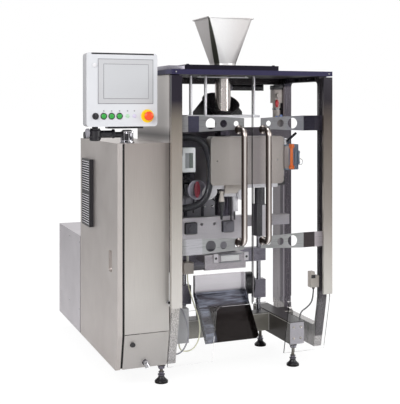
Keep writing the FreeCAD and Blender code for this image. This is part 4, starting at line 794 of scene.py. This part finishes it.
def control_panel():
    """The operator panel's bezel, screen, lit buttons, emergency stop and port cap."""
    front = -10
    outline = block("bezel_outline", (-89.5, front - 1.6, 1247.5), (158.5, front + 1, 1441.5), 0.6)
    fit(outline, "outline", *PANEL)
    rim = block("rim", (-87, front - 2.6, 1250), (156, front + 1, 1439), 1.0)
    fit(rim, "bezel", *PANEL, "panel_screen")
    edge = block("screen_outline", (-66, front - 3.0, 1269), (137, front - 2, 1420), 0.3)
    fit(edge, "outline", *PANEL)
    glass = block("panel_screen_glass", (-63.6, front - 3.6, 1271.4), (134.6, front - 2, 1417.6), 0.4)
    fit(glass, "screen", *PANEL)

    ring_steps = [(14.5, 1.6), (13.4, 1.2), (11.2, 0.0), (11.2, -1.2)]
    rings = turned("ring", (-100, front, 1195), FRONT, 14.5, ring_steps, sides=32)
    rings = copy_to(rings, "button_rings", (36, 0, 0), (71, 0, 0), (106, 0, 0))
    fit(rings, *BLACK, "control_panel", "panel_buttons")
    lens = turned("lens", (-64, front, 1195), FRONT, 10.6, [(10.6, 3.0), (9.2, 1.2), (6.6, 0.5)], sides=28)
    fit(copy_to(lens, "green_buttons", (35, 0, 0), (70, 0, 0)), "green", *PANEL)
    dial = turned("selector_dial", (-100, front, 1195), FRONT, 11, [(11, 3), (10, 1), (4, 0)], sides=28)
    grip = block("selector_grip", (-103, front - 14, 1184.5), (-97, front - 3, 1205.5), 1.6)
    fit(joined("selector", dial, grip), *BLACK, "control_panel")
    for name, x, finish in (("start_lamp", 42, "pale_green"), ("ready_lamp", 73, "lilac")):
        lamp_lens = turned(
            name, (x, front, 1195), FRONT, 9,
            [(9, 1.0), (6.5, 0), (6.5, 2.2), (5, 1.2), (2, 0.4)], sides=28,
        )
        fit(lamp_lens, finish, *PANEL)
    disc = turned("stop_disc", (132, front, 1195), FRONT, 29, [(29, 1.6), (28, 0.6), (20, 0)], sides=48)
    fit(disc, "yellow", "red_plastic", "control_panel")
    head = turned(
        "stop_mushroom", (134, front, 1195), FRONT, 11,
        [(11, 10), (18.5, 2), (20, 2.5), (20, 4), (19, 3), (15.5, 2.4), (9, 1.6), (4, 0.3)], sides=40,
    )
    fit(head, "red", "red_plastic", "control_panel", "emergency_stop")
    cap = turned(
        "port_cap", (-104, front, 1413), FRONT, 10,
        [(10, 2), (8.5, 1.2), (7.5, 0), (6.5, 1.2), (3, 0.4)], sides=32,
    )
    fit(cap, "pale_plastic", *PANEL)
    strip = block("panel_top_strip", (-118, front - 0.6, 1460), (162, 0, 1466.8), 1.0)
    fit(strip, *DARK, "control_panel")
    marks = block("button_mark", (-67, front - 0.5, 1215), (-61, front + 0.5, 1220), 0.3)
    marks = copy_to(marks, "panel_marks", (35, 0, 0), (70, 0, 0), (106, 0, 0), (137, 0, 0))
    fit(marks, "outline", *PANEL)


def panel_arm_fittings():
    """The swivelling arm's knuckle, end cap and sleeve, and the plate under the panel."""
    knuckle = turned(
        "arm_knuckle", (-92, 30, 1088), UP, 20,
        [(24, 4), (24, 12), (27, 3), (27, 24), (22, 5), (22, 6)],
    )
    fit(knuckle, *DARK, "control_panel")
    cap = turned("arm_end_cap", (-119, 30, 1122), LEFT, 20, [(20, 10), (17, 4), (9, 1)])
    fit(cap, "grey_plastic", *PANEL)
    steps = [(18, 6), (18, 20), (15, 4), (15, 46), (20, 4), (20, 8), (14, 2)]
    sleeve = turned("arm_sleeve", (-92, 40, 1118), (1, 0, 0), 14, steps)
    fit(sleeve, *DARK, "control_panel")
    under = block("panel_underplate", (-40, 2, 1141), (118, 58, 1149), 1.5)
    fit(under, *DARK, "control_panel")


def roof_clamp():
    """The clamp that holds the arm's pin: a flange, a waist with ribs and a collar."""
    steps = [(32, 4), (24, 3), (12, 14), (12, 12), (26, 16), (26, 5), (16, 3)]
    clamp = turned("waist", (56, 44, 1076.5), UP, 32, steps)
    ribs = []
    pivot, waist = at(56, 44, 0), 1.103
    for step in range(4):
        rib = block("rib", (26, 41.5, 1078), (86, 46.5, 1128), 1.0)
        rib.data.transform(Matrix.Translation(-pivot))
        rib.data.transform(Matrix.Rotation(math.radians(45 * step), 4, "Z"))
        for vertex in rib.data.vertices:
            vertex.co.xy *= 0.45 + 0.55 * abs(vertex.co.z - waist) / 0.025
        rib.data.transform(Matrix.Translation(pivot))
        ribs.append(rib)
    fit(joined("roof_clamp", clamp, *ribs), *CHROME, "machine", "panel_bracket")


def coder_fittings():
    """The coder's orange plate between its cast halves, its thumb screws, clamp boss and pull ring."""
    plate = block("coder_cover", (861, 42, 938), (877, 60, 1058), 3.0)
    ends = copy_to(block("ends", (856, 41.5, 938), (883, 58, 957), 3.0), "ends", (0, 0, 101))
    fit(joined("coder_cover", plate, ends), "orange", "orange_enamel")
    tabs = turned("tab", (869, 46, 940), UP, 10, [(10, 3), (14, 2), (14, 6), (10, 2), (10, 3)], sides=24)
    fit(copy_to(tabs, "coder_tabs", (0, 0, 98)), "orange", "orange_enamel")
    fit(block("coder_side", (829.5, 43, 942), (855, 58, 1050), 3.0), "coder_side", "dark_enamel")
    steps = [(6, 4), (8, 0), (8, 8), (6, 0), (6, 40), (8, 0), (8, 8), (6, 0), (6, 4)]
    column = turned("coder_columns", (890, 42, 962), UP, 6, steps, sides=20)
    fit(copy_to(column, "coder_columns", (14, 0, 0)), "coder", "dark_enamel")
    boss = turned(
        "clamp_boss", (840, 60, 1056), UP, 13,
        [(13, 6), (9, 2), (9, 12), (14, 3), (14, 7), (8, 2)], sides=24,
    )
    fit(boss, *CHROME)
    deselect()
    bpy.ops.mesh.primitive_torus_add(
        location=at(918, 50, 972), rotation=(math.radians(90), 0, 0),
        major_radius=0.014, minor_radius=0.0016, major_segments=32, minor_segments=8,
    )
    ring = settle(bpy.context.object)
    ring.name = "pull_ring"
    bpy.ops.object.shade_smooth()
    fit(ring, *CHROME)


def controller_fittings():
    """The temperature controller's raised frame, and the pale and dark halves of its display."""
    fit(block("controller_rim", (305, 14, 942), (367, 24, 1050), 2.0), "pale_plastic", "pale_plastic")
    fit(block("controller_readout", (318, 12.6, 960), (336, 20, 1028), 0.6), "outline", "grey_plastic")
    fit(block("controller_glass", (336.5, 12.6, 960), (355, 20, 1028), 0.6), "display", "grey_plastic")


def sealing_unit_fittings():
    """Screws on the stainless cover, the pull box, its pulley, guide disc, funnel and upright guides."""
    head = screw_head("head", (488, 50, 985), FRONT, 3.4)
    fit(copy_to(head, "seal_cover_screws", (310, 0, 0)), *CHROME)
    fit(block("pull_box_cover", (549, 99, 829), (660, 111, 869), 1.5), "beige", "pale_enamel")
    wheel = turned(
        "guide_wheel", (466, 100, 836), FRONT, 32,
        [(32, 3), (27, 0), (27, -2), (10, 0), (10, 4), (7, 1)],
    )
    fit(wheel, "white_metal", "pale_plastic")
    hub = turned("guide_hub", (466, 97, 836), FRONT, 7, [(7, 3), (4, 0), (3.5, -2)], sides=24)
    fit(hub, *DARK)
    pulley = turned("film_pulley", (639, 97, 826), FRONT, 24, [(24, 4), (20, 0), (20, -2), (9, 0), (9, 3)])
    fit(pulley, "aluminium", "machined_aluminium")
    nut = turned("pulley_nut", (639, 95, 828), FRONT, 8, [(8, 5), (6, 1)], sides=6)
    fit(nut, *DARK)
    cone = turned("nozzle", (538, 116, 706), UP, 5, [(6, 6), (7, 24), (15, 48), (16, 4), (13, 1)], sides=28)
    fit(cone, *BLACK)
    funnel = turned(
        "nozzle_funnel", (538, 116, 790), UP, 11,
        [(14, 2), (10, 24), (8, 14), (12, 0), (12, 10)], sides=28,
    )
    fit(funnel, "beige", "pale_enamel")
    fit(block("film_guide", (596, 112, 742), (621, 118, 814), 1.5), "aluminium", "machined_aluminium")
    rods = turned("rod", (606, 120, 702), UP, 4, [(4, 146)], sides=16)
    fit(copy_to(rods, "thin_guides", (-18, 0, 0)), *DARK)
    reel = turned(
        "belt_disc", (430, 160, 846), FRONT, 46,
        [(46, 4), (42, 1), (38, 0), (38, -2), (14, 0), (14, 5)],
    )
    fit(reel, "duct", "machined_aluminium")
    oval = turned("belt_knob", (428, 153, 848), FRONT, 12, [(14, 2), (14, 5), (9, 3)], sides=32)
    stretch_up(oval, 848, 2.7)
    fit(oval, "crimson", "red_plastic")


def wall_fittings():
    """Small air and wiring parts on the plate behind the sealing units: rails, valves and clips."""
    rail = block("rail", (432, 326, 700), (446, 338.5, 934), 1.2)
    fit(copy_to(rail, "wall_rails", (66, 4, 40), (90, 6, -20)), "wall_part", "dark_enamel")
    valve = block("valve", (424, 312, 846), (456, 327, 862), 1.2)
    valves = copy_to(valve, "wall_valves", *[(0, 0, 21 * step) for step in range(1, 4)])
    fit(valves, *BLACK)
    clip = turned("clip", (540, 339, 742), FRONT, 7, [(7, 5), (5, 1), (5, 5), (3, 1)], sides=20)
    fit(copy_to(clip, "wall_clips", (42, 0, 0), (84, 0, 0), (42, 0, 38), (0, 0, 38)), *CHROME)
    route = ((474, 318, 716), (474, 318, 800), (500, 312, 812), (560, 312, 800), (590, 322, 770))
    fit(solid(bent_rod("wall_pipe", route, 3.4)), "black_rubber", "black_rubber")


def switch_fittings():
    """The door switch's black head and its cable gland."""
    fit(block("door_switch_head", (944, -13, 424), (966, 10, 440), 1.2), *BLACK)
    gland = turned("switch_gland", (963, 3, 382), DOWN, 7, [(7, 7), (5, 4)], sides=20)
    fit(gland, *BLACK)


def stretch_up(piece, middle, factor):
    """Draws a piece out upwards and downwards from a height in mm."""
    for vertex in piece.data.vertices:
        vertex.co.z = middle * MM + (vertex.co.z - middle * MM) * factor


def jaw_fittings():
    """The front jaw's two end blocks, bright heater bar, and the slots and bores on its face."""
    ends = block("end", (518, 164, 497), (541, 172, 537), 1.2)
    fit(copy_to(ends, "jaw_end_blocks", (159, 0, 0)), "carriage", "machined_aluminium")
    fit(block("heater_bar", (556, 163, 500), (650, 171, 527), 1.5), "white_metal", "machined_aluminium")
    slot_line = block("jaw_slot", (548, 162, 493), (664, 171, 497), 0.5)
    fit(copy_to(slot_line, "jaw_slots", (0, 0, 37)), "outline", "dark_enamel")
    holes = turned("jaw_bore", (530, 164, 516), FRONT, 6, [(6, 0.6), (4.6, 0), (4.6, -0.4)], sides=24)
    fit(copy_to(holes, "jaw_bores", (159, 0, 0)), *DARK)


def top_fittings():
    """Screws in the dark front band, the box's studs, the duct beside it and the bright rail under it."""
    head = screw_head("head", (247, -60, 1389), FRONT, 4.2)
    fit(copy_to(head, "band_screws", (764, 0, 0)), *CHROME)
    stud = turned("stud", (360, 95, 1428), UP, 7, [(7, 3), (5, 1), (3, 0), (2.6, -2)], sides=20)
    fit(copy_to(stud, "cover_box_studs", (438, 0, 0), (0, 215, 0), (438, 215, 0)), "box", "dark_enamel")
    fit(block("top_duct", (262, 78, 1400), (341.5, 328, 1423), 2.0), "duct", "frame_steel")
    fit(block("bright_rail", (411, 97, 1369.5), (667, 103, 1374.5), 0.8), "white_metal", "frame_steel")
    posts = block("post", (420, 98, 1373), (426, 102, 1378.4), 0.4)
    fit(copy_to(posts, "bright_rail_posts", (232, 0, 0)), "white_metal", "frame_steel")
    boss = turned("roller_cap", (706, 385, 1332), LEFT, 17, [(17, 2), (14, 2), (6, 0), (6, 3)], sides=28)
    fit(boss, "duct", "machined_aluminium")


def air_unit_fittings():
    """The air unit's red oval gauge, its blue push fittings, black head and the chrome ring of its bowl."""
    oval = turned("air_gauge", (944, 350, 1251), FRONT, 9, [(10, 2), (10, 5), (7, 2)], sides=28)
    stretch_up(oval, 1251, 2.0)
    fit(oval, "deep_red", "red_plastic", "machine")
    ports = turned("port", (942, 352, 1180), FRONT, 6, [(6, 5), (8, 0), (8, 6), (5, 0)], sides=24)
    fit(copy_to(ports, "air_ports", (24, 0, 6)), "blue", "grey_plastic")
    fit(block("air_head", (930, 347, 1322), (982, 400, 1344), 3.0), *BLACK)
    bowl = turned("bowl_ring", (956, 374, 1226), DOWN, 22, [(22, 6), (21, 3)], sides=32)
    fit(bowl, *CHROME)


def conduit():
    """A corrugated conduit: one rib, repeated along a line and bent round it."""
    route = (
        (240, 75, 1080), (320, 75, 1102), (424, 75, 1088), (466, 75, 990), (466, 75, 880), (436, 75, 796),
        (340, 75, 768), (240, 75, 776),
    )
    line = bent_rod("conduit_line", route, 0)
    rib = turned(
        "ribbed_conduit", DATUM, (1, 0, 0), 14,
        [(16, 0.8), (16, 2.2), (14, 0.8), (14, 1.6)], sides=20,
    )
    repeat = rib.modifiers.new("ribs", "ARRAY")
    repeat.fit_type = "FIT_CURVE"
    repeat.curve = line
    repeat.use_merge_vertices = True
    bend = rib.modifiers.new("bend", "CURVE")
    bend.object = line
    apply_modifiers(rib)
    bpy.data.objects.remove(line)
    fit(rib, "black_rubber", "black_rubber", "machine", "conduit_loop")


def feet_fittings():
    """Each levelling foot's domed boot, bright collars and lock nut."""
    for name, x, y, under in (
        ("left", 222, 64, 86), ("right", 886, 64, 110), ("rear", 886, 420, 110), ("reel", 120, 1100, 86),
    ):
        boot = turned(name + "_boot", (x, y, 7.5), UP, 30, [(29, 2), (24, 4), (16, 8), (13, 8), (13, 3)])
        fit(boot, "black_enamel", "black_rubber")
        collar = turned(
            name + "_collar", (x, y, 32.5), UP, 15,
            [(16, 2), (16, 3), (10, 2), (10, 5), (13, 1), (13, 3)],
        )
        nut = turned("nut", (x, y, under - 24), UP, 15, [(15, 11)], sides=6, edge=0.8)
        washer = turned("washer", (x, y, under - 12.5), UP, 18, [(18, 3), (11, 0), (11, 9)])
        fit(joined(name + "_foot_hardware", collar, nut, washer), "dark_alloy", "bright_chrome")


def base_fittings():
    """Socket screws that hold the base beams and the foot plate at the right."""
    head = screw_head("head", (874, 34, 190), FRONT, 6.0)
    fit(copy_to(head, "base_screws", (36, 0, 0), (0, 0, -52), (36, 0, -52)), "chrome", "bright_chrome")


def arm_fittings():
    """The screws that clamp each door's arms to its glass and to its hinge knuckle."""
    for side, body in ((1, "right_door"), (-1, "left_door")):
        head = screw_head("head", (MEETING + 246 * side, -40, 1179), (0, 1, 0), 4.0)
        shifts = [(0, 0, -40), (0, 0, -545), (0, 0, -585), (-186 * side, 0, -20), (-186 * side, 0, -565)]
        heads = copy_to(head, body + "_screws", *shifts)
        heads.data.transform(Matrix.Translation((0, 4 * MM, 0)))
        fit(heads, *CHROME, body)


def door_edge():
    """The dark rubber lip where the left door meets the right one."""
    lip = block("door_lip", (MEETING - 5.3, -48, 342), (MEETING - 2.7, -40, 1370), 0.5)
    fit(lip, "gasket", "black_rubber", "left_door")


def hoses():
    """The soft leads: the door switch's cable and the hoses by the jaws and the junction box."""
    jaw_route = (
        (487, 205, 533), (487, 205, 556.1), (476.6, 208.9, 579.8), (454.5, 216.8, 588), (433, 231, 566),
        (422, 254, 544), (422, 254, 490),
    )
    routes = (
        ("door_switch_lead", "black_rubber", "black_rubber", "door_switch_cable", 3.2, (
            (963, 3, 381), (963, 3, 343.1), (959.2, 13, 308.4), (944.8, 30, 280.4), (915, 53, 252.3),
            (915, 53, 216),
        )),
        ("grey_air_hose", "grey_hose", "grey_plastic", "grey_hose", 3.5, (
            (280, 46, 352), (303.8, 46, 352), (313, 46, 322.4), (326.9, 46, 290.4), (340.1, 46, 249.4),
            (346, 46, 203.8), (334.1, 46, 160.5), (305.7, 46, 124), (280, 46, 124),
        )),
        ("front_jaw_lead", "hose", "pale_plastic", "jaw_hose_front", 3.2, jaw_route),
        ("rear_jaw_lead", "hose", "pale_plastic", "jaw_hose_rear", 3.2, [
            (x, y + 14, z) for x, y, z in jaw_route
        ]),
        ("cream_air_hose", "pale_hose", "pale_plastic", "pale_hose", 3.0, (
            (422, 262, 436), (422, 262, 400.6), (426.2, 240.3, 352.3), (432.6, 206.9, 305.6),
            (436.8, 166.8, 262.1), (434.7, 130.1, 213.8), (422, 108.4, 163.9), (393.4, 98.3, 125.3),
            (355.2, 95, 114), (316, 95, 126.9), (316, 95, 165),
        )),
    )
    for name, finish, slot, stands_for, radius, points in routes:
        piece = bent_rod(name, points, radius)
        fit(piece, finish, slot, "machine", stands_for)


for make in (
    vent_mesh, cabinet_fittings, control_panel, panel_arm_fittings, roof_clamp, coder_fittings,
    controller_fittings, sealing_unit_fittings, jaw_fittings, top_fittings, air_unit_fittings, conduit,
    feet_fittings, base_fittings, arm_fittings, door_edge, switch_fittings, wall_fittings,
    hoses,
):
    make()


def camera():
    """A long lens, level, at head height, in front of the machine and to its left."""
    lens = bpy.data.cameras.new("camera")
    lens.sensor_fit = "HORIZONTAL"
    lens.sensor_width = 36
    lens.lens = 75.06
    lens.shift_y = -0.2425
    eye = bpy.data.objects.new("camera", lens)
    eye.location = (-1.4463, -4.0020, 1.243)
    eye.rotation_euler = (math.radians(90), 0, math.radians(-21.7))
    bpy.context.scene.collection.objects.link(eye)
    bpy.context.scene.camera = eye


def floor():
    """A pale floor that keeps a soft shadow."""
    deselect()
    bpy.ops.mesh.primitive_plane_add(size=300, location=(0, 0, 0))
    ground = bpy.context.object
    ground.name = "floor"
    made, tree, shader = new_material("matt_white_floor", "F2F2F2", {"Roughness": 0.9})
    # The shadows fade out with distance, so that no horizon shows.
    spot = add_node(tree, "ShaderNodeTexCoord")
    reach = add_node(tree, "ShaderNodeVectorMath", {0: spot.outputs["Object"]}, operation="LENGTH")
    share = as_range(tree, reach.outputs["Value"], 0.84, 1.0, 0.9, 2.6)
    lit = arithmetic(tree, "MULTIPLY", is_ray(tree, "Camera", "Transmission"), share)
    glow = add_node(tree, "ShaderNodeEmission", {"Color": linear("FFFFFF"), "Strength": 1.08})
    show_mix(tree, lit, shader, glow)
    ground.data.materials.append(made)


def lamp(name, location, target, size, power):
    """A large soft lamp, turned towards a point."""
    light = bpy.data.lights.new(name, "AREA")
    light.shape = "RECTANGLE"
    light.size, light.size_y = size
    light.energy = power
    holder = bpy.data.objects.new(name, light)
    holder.location = location
    holder.rotation_euler = (Vector(target) - Vector(location)).to_track_quat("-Z", "Y").to_euler()
    bpy.context.scene.collection.objects.link(holder)


def studio():
    """A white room that is dimmer overhead and behind the camera, and three large soft lamps."""
    world = bpy.data.worlds.new("studio")
    bpy.context.scene.world = world
    world.use_nodes = True
    tree = world.node_tree
    tree.nodes.clear()
    way = add_node(tree, "ShaderNodeTexCoord")
    parts = add_node(tree, "ShaderNodeSeparateXYZ", {"Vector": way.outputs["Generated"]})
    rise = as_range(tree, parts.outputs["Z"], 1.0, 0.45, 0.1, 0.9)
    side = as_range(tree, parts.outputs["X"], 0.2, 1.0, -0.95, -0.72)
    mirror = arithmetic(tree, "MULTIPLY", rise, side)
    room = arithmetic(tree, "MULTIPLY", rise, 0.62)
    path = add_node(tree, "ShaderNodeLightPath")
    inputs = {0: path.outputs["Is Glossy Ray"], 2: room, 3: mirror}
    lit = add_node(tree, "ShaderNodeMix", inputs).outputs[0]
    strength = arithmetic(tree, "MAXIMUM", lit, is_ray(tree, "Camera", "Transmission"))
    light = add_node(tree, "ShaderNodeBackground", {"Color": linear("FFFFFF"), "Strength": strength})
    add_node(tree, "ShaderNodeOutputWorld", {"Surface": light.outputs["Background"]})
    lamp("key", (-3.2, -3.4, 3.0), (0, -0.2, 0.8), (2.4, 2.4), 150)
    lamp("fill", (3.4, -3.0, 2.2), (0, -0.2, 0.7), (2.2, 2.2), 80)
    lamp("overhead", (0.2, 0.4, 4.0), (0, 0, 1.0), (2.5, 2.5), 60)


camera()
floor()
studio()
bpy.context.scene.view_settings.view_transform = "Standard"
